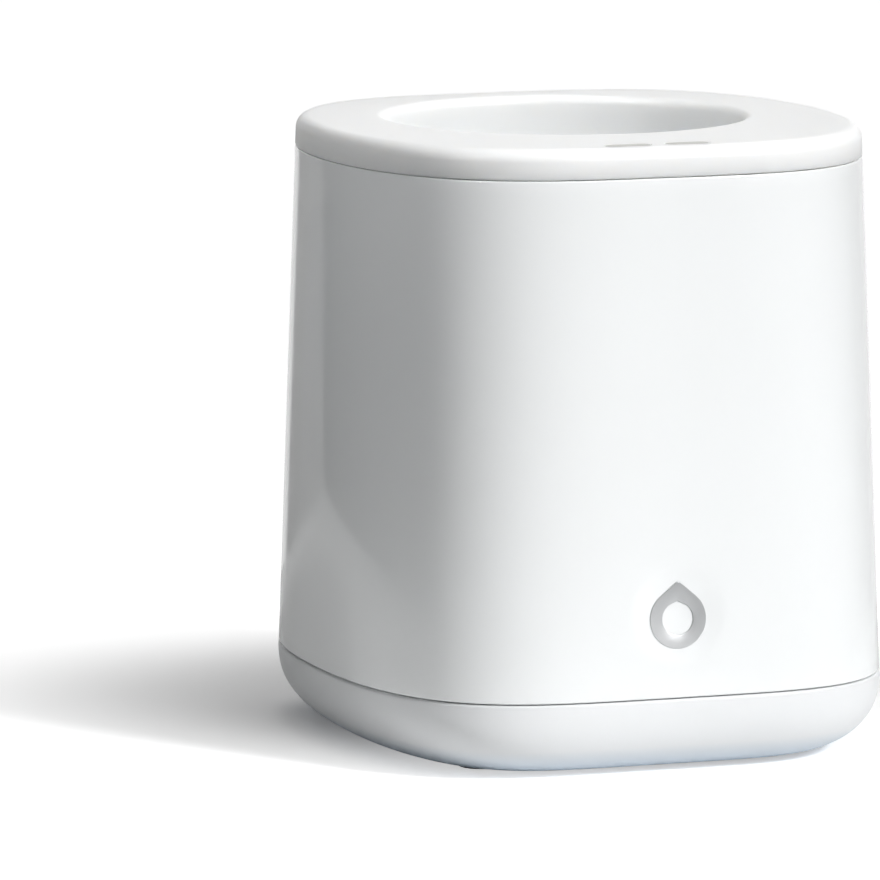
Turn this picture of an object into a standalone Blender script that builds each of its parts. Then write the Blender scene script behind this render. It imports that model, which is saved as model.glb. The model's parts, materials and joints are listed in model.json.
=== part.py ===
"""Bottle warmer: a rounded-square casing around a round warming well.

Millimetres in the source, metres in the scene.  +Z is up, -Y is the front, and the
origin is on the table under the middle of the casing.
"""

import math

import bmesh
import bpy
from mathutils import Matrix, Vector

MM = 0.001

# Casing: a superellipse in plan that changes evenly between the two seams.
BASE_SEAM_Z = 18.5
TOP_SEAM_Z = 137.0
DECK_TOP_Z = 144.1
BASE_HALF_WIDTH = 65.0
BASE_HALF_DEPTH = 68.7
TOP_HALF_WIDTH = 63.4
TOP_HALF_DEPTH = 63.7
BASE_EXPONENT_X = 4.15
BASE_EXPONENT_Y = 2.42
TOP_EXPONENT_X = 3.42
TOP_EXPONENT_Y = 2.07
OUTLINE_POINTS = 48
WALL = 2.4
FIT_GAP = 0.3
SEAM_GAP = 0.5
LIP_WALL = 1.8
LIP_HEIGHT = 4.3
DECK_EDGE_RADIUS = 3.0

# Base pan: its side curves under to a smaller flat bottom.
PAN_BOTTOM_Z = 1.0
PAN_FLOOR_THICKNESS = 2.2
PAN_CURVE_TOP_Z = 17.2
PAN_TUCK = 14.2
PAN_TUCK_DEPTH_RATIO = 0.95
PAN_TUCK_EXPONENT = 1.54
PAN_DROP_EXPONENT = 2.4
PAN_BOTTOM_EXPONENT_X = 5.2
PAN_BOTTOM_EXPONENT_Y = 2.0

# Warming well, set back from the middle to leave room for the keys.
WELL_Y = 8.4
WELL_RADIUS = 41.7
WELL_LIP_RADIUS = 2.2
SLEEVE_WALL = 2.2
SLEEVE_BOTTOM_Z = 50.0
FLANGE_RADIUS = 50.0
FLANGE_THICKNESS = 3.0
WELL_SEGMENTS = 40

# Lift-out basket.
BASKET_RADIUS = 39.6
BASKET_WALL = 1.8
BASKET_RIM_RADIUS = 41.2
BASKET_RIM_Z = 128.0
BASKET_FLOOR_Z = 51.0
BASKET_FLOOR_THICKNESS = 2.0
BASKET_NUB_RADIUS = 3.0
BASKET_NUB_RING = 26.0
CENTRE_DRAIN_RADIUS = 4.0
RING_DRAIN_RADIUS = 3.0
DRAIN_RING = 15.0
FINGER_LENGTH = 24.0
FINGER_DEPTH = 9.0
FINGER_DROP = 12.0

# Heater stack under the sleeve, from the gasket down.
HEATER_RIM_RADIUS = 43.5
SEAT_INNER_RADIUS = 38.5
GASKET_THICKNESS = 1.4
HEATER_PLATE_THICKNESS = 1.6
CLAMP_THICKNESS = 1.5
COVER_THICKNESS = 1.0
COVER_DEPTH = 12.0
ELEMENT_RING_RADIUS = 27.0
ELEMENT_RADIUS = 3.3
ELEMENT_END_X = 9.0
LEAD_HOLE_X = 5.6
LEAD_HOLE_Y = WELL_Y - ELEMENT_RING_RADIUS
LEAD_RUN_Z = 30.0
SENSOR_Y = WELL_Y + 14.0
SENSOR_HOLE = (12.0, 20.0)
CLAMP_BOLT_RADIUS = 47.0

# Screws and feet share the same four corners.
FOOT_X = 37.0
FOOT_Y = 38.0
FOOT_RADIUS = 5.5
FOOT_HEIGHT = 1.9
FOOT_POCKET_DEPTH = 1.2
SCREW_HEAD_RADIUS = 2.9
SCREW_HEAD_HEIGHT = 2.2
SCREW_SHANK_RADIUS = 1.5
SCREW_SLOT_LENGTH = 2.6
SCREW_SLOT_WIDTH = 0.8
SCREW_SLOT_DEPTH = 0.9
SMALL_SCREW_HEAD_RADIUS = 2.3
SMALL_SCREW_SHANK_RADIUS = 1.0
PILOT_RADIUS = 1.3
POST_RADIUS = 3.0
CORNER_POST_RADIUS = 6.9
BOSS_RADIUS = 4.6
BOSS_TOP_Z = 38.0
RIB_END = (53.6, 51.0)
RIB_NOTCH_RADIUS = 5.0

# Keys on the deck, and the control board under them.
KEY_Y = -57.9
KEY_DEPTH = 4.4
KEY_FLANGE_Y = -57.1
KEY_FLANGE_DEPTH = 7.0
KEY_CENTRES = {"power": -8.9, "timer": 5.3}
KEY_LENGTHS = {"power": 11.0, "timer": 10.6}
KEY_TRAVEL = 0.5
KEY_FLANGE_THICKNESS = 1.1
KEY_FLANGE_OVERHANG = 1.2
KEY_STEM_RADIUS = 1.6
SWITCH_SIZE = 6.0
SWITCH_HEIGHT = 3.6
SWITCH_FLOOR = 1.2
PLUNGER_RADIUS = 1.7
CONTROL_BOARD_Z = 131.0
BOARD_THICKNESS = 1.6
SWITCH_Y = -55.2

# Emblem dimple on the front.
DIMPLE_Z = 37.6
DIMPLE_RADIUS = 11.2
DIMPLE_DEPTH = 1.25
BADGE_HEIGHT = 15.6
BADGE_WIDTH = 13.6
BADGE_STROKE = 3.1
BADGE_THICKNESS = 0.8

# Power board on the floor of the pan.
POWER_BOARD_Z = 12.0
POWER_BOARD_SIZE = (62.0, 46.0)
POWER_BOARD_Y = -2.0
TERMINAL_HEIGHT = 9.0

# Air slots through the pan's floor.
VENT_COUNT = 5
VENT_FIRST_Y = 10.0
VENT_PITCH = 5.0
VENT_LENGTH = 26.0
VENT_WIDTH = 2.2

# Cord gland in the rear wall of the pan.
GLAND_Z = 12.6
GLAND_SEAT_Y = 65.4
GLAND_INNER_Y = 59.5
GLAND_BORE_RADIUS = 3.0
GLAND_BARREL_RADIUS = 4.0
GLAND_FLANGE_RADIUS = 5.1

CORNERS = {
    "front_left": (-1, -1),
    "front_right": (1, -1),
    "rear_left": (-1, 1),
    "rear_right": (1, 1),
}


# ---------------------------------------------------------------- materials

COLOURS = {
    "gloss_white_shell": ((0.86, 0.87, 0.87), 0.08, 0.0),
    "satin_white_deck": ((0.88, 0.88, 0.86), 0.42, 0.0),
    "satin_white_base": ((0.87, 0.88, 0.89), 0.35, 0.0),
    "silver_emblem": ((0.62, 0.63, 0.65), 0.30, 1.0),
    "taupe_key": ((0.58, 0.56, 0.54), 0.45, 0.0),
    "frosted_basket": ((0.88, 0.90, 0.91), 0.35, 0.0),
    "grey_rubber": ((0.16, 0.16, 0.17), 0.80, 0.0),
    "silicone": ((0.72, 0.70, 0.66), 0.60, 0.0),
    "cast_aluminium": ((0.74, 0.75, 0.76), 0.35, 1.0),
    "zinc_steel": ((0.66, 0.66, 0.66), 0.32, 1.0),
    "element_steel": ((0.36, 0.34, 0.32), 0.45, 1.0),
    "board_green": ((0.03, 0.20, 0.09), 0.45, 0.0),
    "black_plastic": ((0.03, 0.03, 0.035), 0.45, 0.0),
    "relay_blue": ((0.05, 0.16, 0.42), 0.40, 0.0),
    "terminal_green": ((0.06, 0.34, 0.16), 0.45, 0.0),
    "capacitor_sleeve": ((0.05, 0.06, 0.12), 0.35, 0.0),
    "ferrite_core": ((0.10, 0.10, 0.11), 0.60, 0.0),
    "ceramic_white": ((0.82, 0.80, 0.74), 0.50, 0.0),
    "led_lens": ((0.80, 0.45, 0.12), 0.20, 0.0),
    "wire_sleeve_red": ((0.45, 0.04, 0.03), 0.45, 0.0),
    "wire_sleeve_white": ((0.80, 0.80, 0.78), 0.45, 0.0),
    "ribbon_grey": ((0.52, 0.53, 0.55), 0.50, 0.0),
}


def material(name):
    """Principled material from the colour table."""
    found = bpy.data.materials.get(name)
    if found:
        return found
    colour, roughness, metallic = COLOURS[name]
    made = bpy.data.materials.new(name)
    made.use_nodes = True
    shader = made.node_tree.nodes["Principled BSDF"]
    shader.inputs["Base Color"].default_value = (*colour, 1.0)
    shader.inputs["Roughness"].default_value = roughness
    shader.inputs["Metallic"].default_value = metallic
    made.diffuse_color = (*colour, 1.0)
    return made


# ---------------------------------------------------------------- solids


def clear_scene():
    for item in list(bpy.data.objects):
        bpy.data.objects.remove(item, do_unlink=True)


def add_mesh(name, points, faces, material_name, origin=(0.0, 0.0, 0.0)):
    """Closed mesh from points in millimetres, with its origin where asked."""
    origin = Vector(origin)
    mesh = bpy.data.meshes.new(name)
    mesh.from_pydata([(Vector(point) - origin) * MM for point in points], [], faces)
    work = bmesh.new()
    work.from_mesh(mesh)
    bmesh.ops.recalc_face_normals(work, faces=work.faces)
    work.to_mesh(mesh)
    work.free()
    item = bpy.data.objects.new(name, mesh)
    item.location = origin * MM
    bpy.context.scene.collection.objects.link(item)
    if material_name:
        mesh.materials.append(material(material_name))
    mesh.shade_smooth()
    mesh.set_sharp_from_angle(angle=math.radians(35))
    return item


def loft(name, loops, material_name, ring=False, origin=(0.0, 0.0, 0.0)):
    """Skin over loops of equal length: capped at both ends, or closed into a ring."""
    count = len(loops[0])
    points = [point for loop in loops for point in loop]
    faces = []
    bands = len(loops) if ring else len(loops) - 1
    for band in range(bands):
        low = band * count
        high = ((band + 1) % len(loops)) * count
        for step in range(count):
            after = (step + 1) % count
            faces.append((low + step, low + after, high + after, high + step))
    if not ring:
        faces.append(tuple(reversed(range(count))))
        faces.append(tuple(range(len(points) - count, len(points))))
    return add_mesh(name, points, faces, material_name, origin)


def circle(radius, z, centre=(0.0, 0.0), segments=WELL_SEGMENTS):
    points = []
    for step in range(segments):
        turn = 2.0 * math.pi * step / segments
        points.append((centre[0] + radius * math.cos(turn), centre[1] + radius * math.sin(turn), z))
    return points


def turned(name, profile, material_name, centre=(0.0, 0.0), segments=WELL_SEGMENTS, ring=True):
    """Solid turned about a vertical line, from (radius, z) points."""
    loops = [circle(radius, z, centre, segments) for radius, z in profile]
    return loft(name, loops, material_name, ring=ring)


def disc(name, radius, low, high, material_name, centre=(0.0, 0.0), segments=24):
    return turned(name, [(radius, low), (radius, high)], material_name, centre, segments, ring=False)


def box(name, low, high, material_name, origin=(0.0, 0.0, 0.0)):
    base = [(low[0], low[1]), (high[0], low[1]), (high[0], high[1]), (low[0], high[1])]
    loops = [[(x, y, z) for x, y in base] for z in (low[2], high[2])]
    return loft(name, loops, material_name, origin=origin)


def centred_box(name, centre, size, material_name):
    low = [middle - extent / 2.0 for middle, extent in zip(centre, size)]
    high = [middle + extent / 2.0 for middle, extent in zip(centre, size)]
    return box(name, low, high, material_name)


def pill(length, depth, z, centre, corner_steps=4):
    """Outline with two round ends, long side along X."""
    radius = depth / 2.0
    reach = length / 2.0 - radius
    points = []
    for end, start in ((1, -90.0), (-1, 90.0)):
        for step in range(corner_steps + 1):
            turn = math.radians(start + 180.0 * step / corner_steps)
            x = centre[0] + end * reach + radius * math.cos(turn)
            y = centre[1] + radius * math.sin(turn)
            points.append((x, y, z))
    return points


def tube(name, points, radius, material_name):
    """Plain wire along a smooth route through hand-placed points."""
    curve = bpy.data.curves.new(name, "CURVE")
    curve.dimensions = "3D"
    curve.bevel_depth = radius * MM
    curve.bevel_resolution = 2
    curve.use_fill_caps = True
    curve.resolution_u = 1
    curve.render_resolution_u = 0
    route = smooth_route(points)
    spline = curve.splines.new("POLY")
    spline.points.add(len(route) - 1)
    for slot, point in zip(spline.points, route):
        slot.co = (*(Vector(point) * MM), 1.0)
    curve.materials.append(material(material_name))
    item = bpy.data.objects.new(name, curve)
    bpy.context.scene.collection.objects.link(item)
    return item


def smooth_route(points, steps=3):
    """Catmull-Rom curve through the points."""
    knots = [Vector(point) for point in points]
    knots = [2 * knots[0] - knots[1]] + knots + [2 * knots[-1] - knots[-2]]
    route = []
    for index in range(1, len(knots) - 2):
        before, start, end, after = knots[index - 1:index + 3]
        for step in range(steps):
            t = step / steps
            route.append(0.5 * (
                2 * start
                + (end - before) * t
                + (2 * before - 5 * start + 4 * end - after) * t ** 2
                + (3 * start - before - 3 * end + after) * t ** 3
            ))
    route.append(knots[-2])
    return route


def join_tools(name, tools):
    """One hidden tool from several separate closed meshes."""
    work = bmesh.new()
    for tool in tools:
        start = len(work.verts)
        work.from_mesh(tool.data)
        work.verts.ensure_lookup_table()
        bmesh.ops.transform(work, matrix=tool.matrix_basis, verts=work.verts[start:])
        bpy.data.objects.remove(tool, do_unlink=True)
    mesh = bpy.data.meshes.new(name)
    work.to_mesh(mesh)
    work.free()
    item = bpy.data.objects.new(name, mesh)
    bpy.context.scene.collection.objects.link(item)
    return item


def combine(target, operation, tools):
    """Boolean modifier on the target with all the tools at once."""
    combine_one(target, operation, join_tools(target.name + "_" + operation.lower() + "_tool", tools))


def combine_one(target, operation, tool):
    """Boolean modifier on the target with a single tool."""
    tool.hide_render = True
    tool.display_type = "WIRE"
    modifier = target.modifiers.new(operation.lower(), "BOOLEAN")
    modifier.operation = operation
    modifier.solver = "EXACT"
    modifier.object = tool


def screw(name, axis, head_z, tip_z, head_radius=SCREW_HEAD_RADIUS, shank_radius=SCREW_SHANK_RADIUS):
    """Pan-head screw whose head is at head_z; the shank runs to tip_z."""
    direction = 1.0 if tip_z > head_z else -1.0
    head_end = head_z + direction * SCREW_HEAD_HEIGHT
    profile = [
        (head_radius * 0.72, head_z),
        (head_radius, head_z + direction * 0.7),
        (head_radius, head_end),
        (shank_radius, head_end),
        (shank_radius, tip_z),
    ]
    item = turned(name, profile, "zinc_steel", axis, segments=12, ring=False)
    slot_low = min(head_z - 0.2 * direction, head_z + direction * SCREW_SLOT_DEPTH)
    slot_high = max(head_z - 0.2 * direction, head_z + direction * SCREW_SLOT_DEPTH)
    low = (axis[0] - SCREW_SLOT_LENGTH / 2, axis[1] - SCREW_SLOT_WIDTH / 2, slot_low)
    high = (axis[0] + SCREW_SLOT_LENGTH / 2, axis[1] + SCREW_SLOT_WIDTH / 2, slot_high)
    combine_one(item, "DIFFERENCE", box(name + "_slot", low, high, None))
    return item


# ---------------------------------------------------------------- casing


def superellipse(half_width, half_depth, exponent_x, exponent_y, z):
    points = []
    for step in range(OUTLINE_POINTS):
        turn = 2.0 * math.pi * step / OUTLINE_POINTS
        across = math.copysign(abs(math.cos(turn)) ** (2.0 / exponent_x), math.cos(turn))
        along = math.copysign(abs(math.sin(turn)) ** (2.0 / exponent_y), math.sin(turn))
        points.append((half_width * across, half_depth * along, z))
    return points


def casing_size(z):
    """Half width, half depth and exponents of the casing at a height."""
    rise = (z - BASE_SEAM_Z) / (TOP_SEAM_Z - BASE_SEAM_Z)
    ends = (
        (BASE_HALF_WIDTH, TOP_HALF_WIDTH),
        (BASE_HALF_DEPTH, TOP_HALF_DEPTH),
        (BASE_EXPONENT_X, TOP_EXPONENT_X),
        (BASE_EXPONENT_Y, TOP_EXPONENT_Y),
    )
    return [low + (high - low) * rise for low, high in ends]


def casing_loop(z, inset=0.0):
    half_width, half_depth, exponent_x, exponent_y = casing_size(z)
    return superellipse(half_width - inset, half_depth - inset, exponent_x, exponent_y, z)


def pan_loop(angle, wall=0.0, floor=0.0):
    """Outline on the curve under the pan: 0 degrees at its top, 90 on its flat bottom."""
    half_width, half_depth, exponent_x, exponent_y = casing_size(PAN_CURVE_TOP_Z)
    turn = math.radians(angle)
    sink = math.sin(turn)
    drop = (PAN_CURVE_TOP_Z - PAN_BOTTOM_Z - floor) * sink ** (2.0 / PAN_DROP_EXPONENT)
    tuck = PAN_TUCK * (1.0 - max(math.cos(turn), 0.0) ** (2.0 / PAN_TUCK_EXPONENT))
    exponent_x += (PAN_BOTTOM_EXPONENT_X - exponent_x) * sink
    exponent_y += (PAN_BOTTOM_EXPONENT_Y - exponent_y) * sink
    return superellipse(
        half_width - wall - tuck,
        half_depth - wall - tuck * PAN_TUCK_DEPTH_RATIO,
        exponent_x,
        exponent_y,
        PAN_CURVE_TOP_Z - drop,
    )


def make_outer_shell():
    low = BASE_SEAM_Z + SEAM_GAP / 2
    high = TOP_SEAM_Z - SEAM_GAP / 2
    heights = [low, 60.0, 100.0, high]
    loops = [casing_loop(z) for z in heights] + [casing_loop(z, WALL) for z in reversed(heights)]
    shell = loft("outer_shell", loops, "gloss_white_shell", ring=True)
    backing_y = dimple_surface(0.0, DIMPLE_Z) + WALL
    backing = y_disc("backing", DIMPLE_RADIUS + 2.0, -BASE_HALF_DEPTH + 1.6, backing_y, DIMPLE_Z)
    tools = [backing]
    for side_x, side_y in CORNERS.values():
        tools.append(shell_boss(side_x, side_y))
    for tool in tools:
        combine_one(shell, "UNION", tool)
    holes = [dimple_cutter()]
    for side_x, side_y in CORNERS.values():
        axis = (side_x * FOOT_X, side_y * FOOT_Y)
        holes.append(disc("hole", SCREW_SHANK_RADIUS + FIT_GAP, 10.0, 32.0, None, axis, 12))
    combine(shell, "DIFFERENCE", holes)
    return shell


def shell_boss(side_x, side_y):
    """Screw boss joined to the shell's corner by a rib, as one keyhole outline."""
    start = Vector((side_x * FOOT_X, side_y * FOOT_Y))
    end = Vector((side_x * RIB_END[0], side_y * RIB_END[1]))
    along = (end - start).normalized()
    across = Vector((-along.y, along.x))
    half_rib = 1.3
    rib_turn = math.asin(half_rib / BOSS_RADIUS)
    base_turn = math.atan2(along.y, along.x)
    outline = []
    arc_steps = 14
    for step in range(arc_steps + 1):
        turn = base_turn + rib_turn + (2 * math.pi - 2 * rib_turn) * step / arc_steps
        outline.append(start + BOSS_RADIUS * Vector((math.cos(turn), math.sin(turn))))
    outline.append(end - across * half_rib)
    outline.append(end + across * half_rib)
    low = BASE_SEAM_Z + FIT_GAP + 0.2
    loops = [[(point.x, point.y, z) for point in outline] for z in (low, BOSS_TOP_Z)]
    return loft("boss_" + str(side_x) + "_" + str(side_y), loops, None)


def y_circle(radius, y, z, x=0.0, segments=24):
    """Circle about a line along Y."""
    loop = []
    for step in range(segments):
        turn = 2.0 * math.pi * step / segments
        loop.append((x + radius * math.cos(turn), y, z + radius * math.sin(turn)))
    return loop


def y_disc(name, radius, near_y, far_y, z, material_name=None, x=0.0, segments=24):
    loops = [y_circle(radius, y, z, x, segments) for y in (near_y, far_y)]
    return loft(name, loops, material_name)


def front_lean():
    """How far the front face moves back for each millimetre up."""
    return (BASE_HALF_DEPTH - TOP_HALF_DEPTH) / (TOP_SEAM_Z - BASE_SEAM_Z)


def dimple_ball():
    """Radius and centre of the ball that forms the dimple."""
    radius = (DIMPLE_RADIUS ** 2 + DIMPLE_DEPTH ** 2) / (2.0 * DIMPLE_DEPTH)
    face_y = -casing_size(DIMPLE_Z)[1]
    lean = math.atan(front_lean())
    reach = radius - DIMPLE_DEPTH
    centre = Vector((0.0, face_y - reach * math.cos(lean), DIMPLE_Z + reach * math.sin(lean)))
    return radius, centre


def dimple_surface(x, z):
    """Y of the dimple's floor at a point on the front."""
    radius, centre = dimple_ball()
    return centre.y + math.sqrt(radius ** 2 - (x - centre.x) ** 2 - (z - centre.z) ** 2)


def dimple_cutter():
    """Cap of the ball, from just in front of the face to the dimple's floor."""
    radius, centre = dimple_ball()
    lean = math.atan(front_lean())
    widest = math.asin((DIMPLE_RADIUS + 2.4) / radius)
    rings = 5
    segments = 36
    loops = []
    for ring in range(rings, 0, -1):
        swing = widest * ring / rings
        loop = []
        for step in range(segments):
            turn = 2.0 * math.pi * step / segments
            local = Vector((
                radius * math.sin(swing) * math.cos(turn),
                radius * math.cos(swing),
                radius * math.sin(swing) * math.sin(turn),
            ))
            loop.append(tuple(centre + Matrix.Rotation(-lean, 3, "X") @ local))
        loops.append(loop)
    return loft("dimple_cutter", loops, None)


def make_badge():
    """Upright water-drop outline with a round foot and a pointed top."""
    half_width = BADGE_WIDTH / 2.0
    ball_z = DIMPLE_Z - BADGE_HEIGHT / 2.0 + half_width
    tip_z = DIMPLE_Z + BADGE_HEIGHT / 2.0
    outer = drop_outline(half_width, ball_z, tip_z)
    inner = drop_outline(half_width - BADGE_STROKE, ball_z, tip_z - BADGE_STROKE * 1.55)
    loops = []
    for outline, lift in ((outer, 0.0), (inner, 0.0), (inner, BADGE_THICKNESS), (outer, BADGE_THICKNESS)):
        loops.append([(x, dimple_surface(x, z) - FIT_GAP - lift, z) for x, z in outline])
    return loft("badge_inlay", loops, "silver_emblem", ring=True)


def drop_outline(radius, ball_z, tip_z, arc_steps=22):
    """Circle below, closing to a tip above along its two tangents."""
    reach = tip_z - ball_z
    open_half = math.acos(radius / reach)
    points = [(0.0, tip_z)]
    for step in range(arc_steps + 1):
        turn = math.pi / 2 - open_half - (2 * math.pi - 2 * open_half) * step / arc_steps
        points.append((radius * math.cos(turn), ball_z + radius * math.sin(turn)))
    return points


def make_top_deck():
    """Deck, skirt and well sleeve moulded in one piece."""
    low = TOP_SEAM_Z + SEAM_GAP / 2
    under = DECK_TOP_Z - WALL
    lip_inset = WALL + FIT_GAP
    loops = [casing_loop(low), casing_loop(DECK_TOP_Z - DECK_EDGE_RADIUS)]
    for angle in (30.0, 60.0, 90.0):
        turn = math.radians(angle)
        z = DECK_TOP_Z - DECK_EDGE_RADIUS * (1.0 - math.sin(turn))
        loops.append(casing_loop(z, DECK_EDGE_RADIUS * (1.0 - math.cos(turn))))
    centre = (0.0, WELL_Y)
    for angle in (90.0, 50.0, 0.0):
        turn = math.radians(angle)
        radius = WELL_RADIUS + WELL_LIP_RADIUS * (1.0 - math.cos(turn))
        z = DECK_TOP_Z - WELL_LIP_RADIUS * (1.0 - math.sin(turn))
        loops.append(circle(radius, z, centre, OUTLINE_POINTS))
    flange_top = SLEEVE_BOTTOM_Z + FLANGE_THICKNESS
    outside = WELL_RADIUS + SLEEVE_WALL
    for radius, z in (
        (WELL_RADIUS, SLEEVE_BOTTOM_Z),
        (FLANGE_RADIUS, SLEEVE_BOTTOM_Z),
        (FLANGE_RADIUS, flange_top),
        (outside, flange_top),
        (outside, under),
    ):
        loops.append(circle(radius, z, centre, OUTLINE_POINTS))
    loops.append(casing_loop(under, WALL))
    loops.append(casing_loop(low + 1.8, WALL))
    loops.append(casing_loop(low + 0.8, lip_inset + LIP_WALL))
    skirt_low = low - LIP_HEIGHT
    loops.append(casing_loop(skirt_low, lip_inset + LIP_WALL))
    loops.append(casing_loop(skirt_low, lip_inset))
    loops.append(casing_loop(low, lip_inset))
    deck = loft("top_deck", loops, "satin_white_deck", ring=True)
    add_deck_posts(deck, under)
    cut_deck_openings(deck, flange_top)
    return deck


def control_post_axes():
    return [(-21.0, -45.0), (21.0, -45.0)]


def clamp_bolt_axes():
    axes = []
    for step in range(4):
        turn = math.radians(45.0 + 90.0 * step)
        x = CLAMP_BOLT_RADIUS * math.cos(turn)
        y = WELL_Y + CLAMP_BOLT_RADIUS * math.sin(turn)
        axes.append((x, y))
    return axes


def add_deck_posts(deck, under):
    low = CONTROL_BOARD_Z + BOARD_THICKNESS + FIT_GAP
    for index, axis in enumerate(control_post_axes()):
        combine_one(deck, "UNION", disc("post_" + str(index), POST_RADIUS, low, under + 0.8, None, axis, 14))
    flange_top = SLEEVE_BOTTOM_Z + FLANGE_THICKNESS
    for index, axis in enumerate(clamp_bolt_axes()):
        low_z = flange_top - 1.0
        combine_one(deck, "UNION", disc("boss_" + str(index), 3.2, low_z, flange_top + 7.0, None, axis, 14))


def cut_deck_openings(deck, flange_top):
    tools = []
    for key, x in KEY_CENTRES.items():
        length = KEY_LENGTHS[key] + 2 * FIT_GAP
        depth = KEY_DEPTH + 2 * FIT_GAP
        loops = [pill(length, depth, z, (x, KEY_Y)) for z in (DECK_TOP_Z - 6.0, DECK_TOP_Z + 2.0)]
        tools.append(loft("aperture", loops, None))
    low = CONTROL_BOARD_Z
    for axis in control_post_axes():
        tools.append(disc("pilot", PILOT_RADIUS, low, low + 8.0, None, axis, 12))
    for axis in clamp_bolt_axes():
        tools.append(disc("pilot", SCREW_SHANK_RADIUS + FIT_GAP, 40.0, flange_top + 5.0, None, axis, 12))
    combine(deck, "DIFFERENCE", tools)


def make_base_pan():
    lip_inset = WALL + FIT_GAP
    high = BASE_SEAM_Z - SEAM_GAP / 2
    lip_top = high + LIP_HEIGHT
    outside = [pan_loop(angle) for angle in (90, 70, 52, 34, 16, 0)]
    lip = [
        casing_loop(high),
        casing_loop(high, lip_inset),
        casing_loop(lip_top, lip_inset),
        casing_loop(lip_top, lip_inset + LIP_WALL),
    ]
    inner_wall = lip_inset + LIP_WALL
    inside = [pan_loop(angle, inner_wall, PAN_FLOOR_THICKNESS) for angle in (0, 30, 60, 90)]
    pan = loft("base_pan", outside + lip + inside, "satin_white_base")
    for name, (side_x, side_y) in CORNERS.items():
        axis = (side_x * FOOT_X, side_y * FOOT_Y)
        combine_one(pan, "UNION", disc("post_" + name, CORNER_POST_RADIUS, 2.0, BASE_SEAM_Z, None, axis, 20))
    for index, axis in enumerate(power_board_axes()):
        post = disc("board_post_" + str(index), POST_RADIUS, 2.0, POWER_BOARD_Z - FIT_GAP, None, axis, 14)
        combine_one(pan, "UNION", post)
    combine(pan, "DIFFERENCE", pan_cutters())
    return pan


def pan_cutters():
    foot_pocket_top = PAN_BOTTOM_Z + FOOT_POCKET_DEPTH
    tools = []
    for side_x, side_y in CORNERS.values():
        axis = (side_x * FOOT_X, side_y * FOOT_Y)
        profile = [
            (FOOT_RADIUS + FIT_GAP, -1.0),
            (FOOT_RADIUS + FIT_GAP, foot_pocket_top),
            (SCREW_HEAD_RADIUS + 0.5, foot_pocket_top),
            (SCREW_HEAD_RADIUS + 0.5, 6.0),
            (SCREW_SHANK_RADIUS + 0.4, 6.0),
            (SCREW_SHANK_RADIUS + 0.4, 24.0),
        ]
        tools.append(turned("screw_path", profile, None, axis, 20, ring=False))
        notch = (side_x * (RIB_END[0] - 2.0), side_y * (RIB_END[1] - 1.6))
        tools.append(disc("rib_notch", RIB_NOTCH_RADIUS, BASE_SEAM_Z, 26.0, None, notch, 16))
    for axis in power_board_axes():
        tools.append(disc("pilot", PILOT_RADIUS, 5.0, POWER_BOARD_Z + 2.0, None, axis, 12))
    hole_radius = GLAND_BARREL_RADIUS + FIT_GAP
    seat_radius = GLAND_FLANGE_RADIUS + FIT_GAP
    path = [
        (hole_radius, 55.0),
        (hole_radius, GLAND_SEAT_Y),
        (seat_radius, GLAND_SEAT_Y),
        (seat_radius, 75.0),
    ]
    tools.append(loft("gland_path", [y_circle(radius, y, GLAND_Z) for radius, y in path], None))
    tools += vent_slots()
    return tools


def vent_slots():
    """Row of air slots through the pan's floor."""
    slots = []
    for index in range(VENT_COUNT):
        y = VENT_FIRST_Y + VENT_PITCH * index
        loops = [pill(VENT_LENGTH, VENT_WIDTH, z, (0.0, y), 3) for z in (-1.0, 5.0)]
        slots.append(loft("vent", loops, None))
    return slots


def make_feet_and_screws():
    for name, (side_x, side_y) in CORNERS.items():
        axis = (side_x * FOOT_X, side_y * FOOT_Y)
        profile = [
            (FOOT_RADIUS - 0.5, 0.0),
            (FOOT_RADIUS, 0.5),
            (FOOT_RADIUS, FOOT_HEIGHT),
        ]
        turned("foot_" + name, profile, "grey_rubber", axis, 24, ring=False)
        screw("base_screw_" + name, axis, 3.5, 30.0)


def make_gland():
    """Flanged grommet along Y, with the hole that the supply cord uses."""
    seat = GLAND_SEAT_Y + FIT_GAP
    profile = [
        (GLAND_BORE_RADIUS, GLAND_INNER_Y),
        (GLAND_BORE_RADIUS, seat + 2.3),
        (GLAND_FLANGE_RADIUS - 0.9, seat + 2.3),
        (GLAND_FLANGE_RADIUS, seat + 1.6),
        (GLAND_FLANGE_RADIUS, seat),
        (GLAND_BARREL_RADIUS, seat),
        (GLAND_BARREL_RADIUS, GLAND_INNER_Y),
    ]
    loops = [y_circle(radius, y, GLAND_Z) for radius, y in profile]
    return loft("cord_gland", loops, "grey_rubber", ring=True)


# ---------------------------------------------------------------- heater


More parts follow.
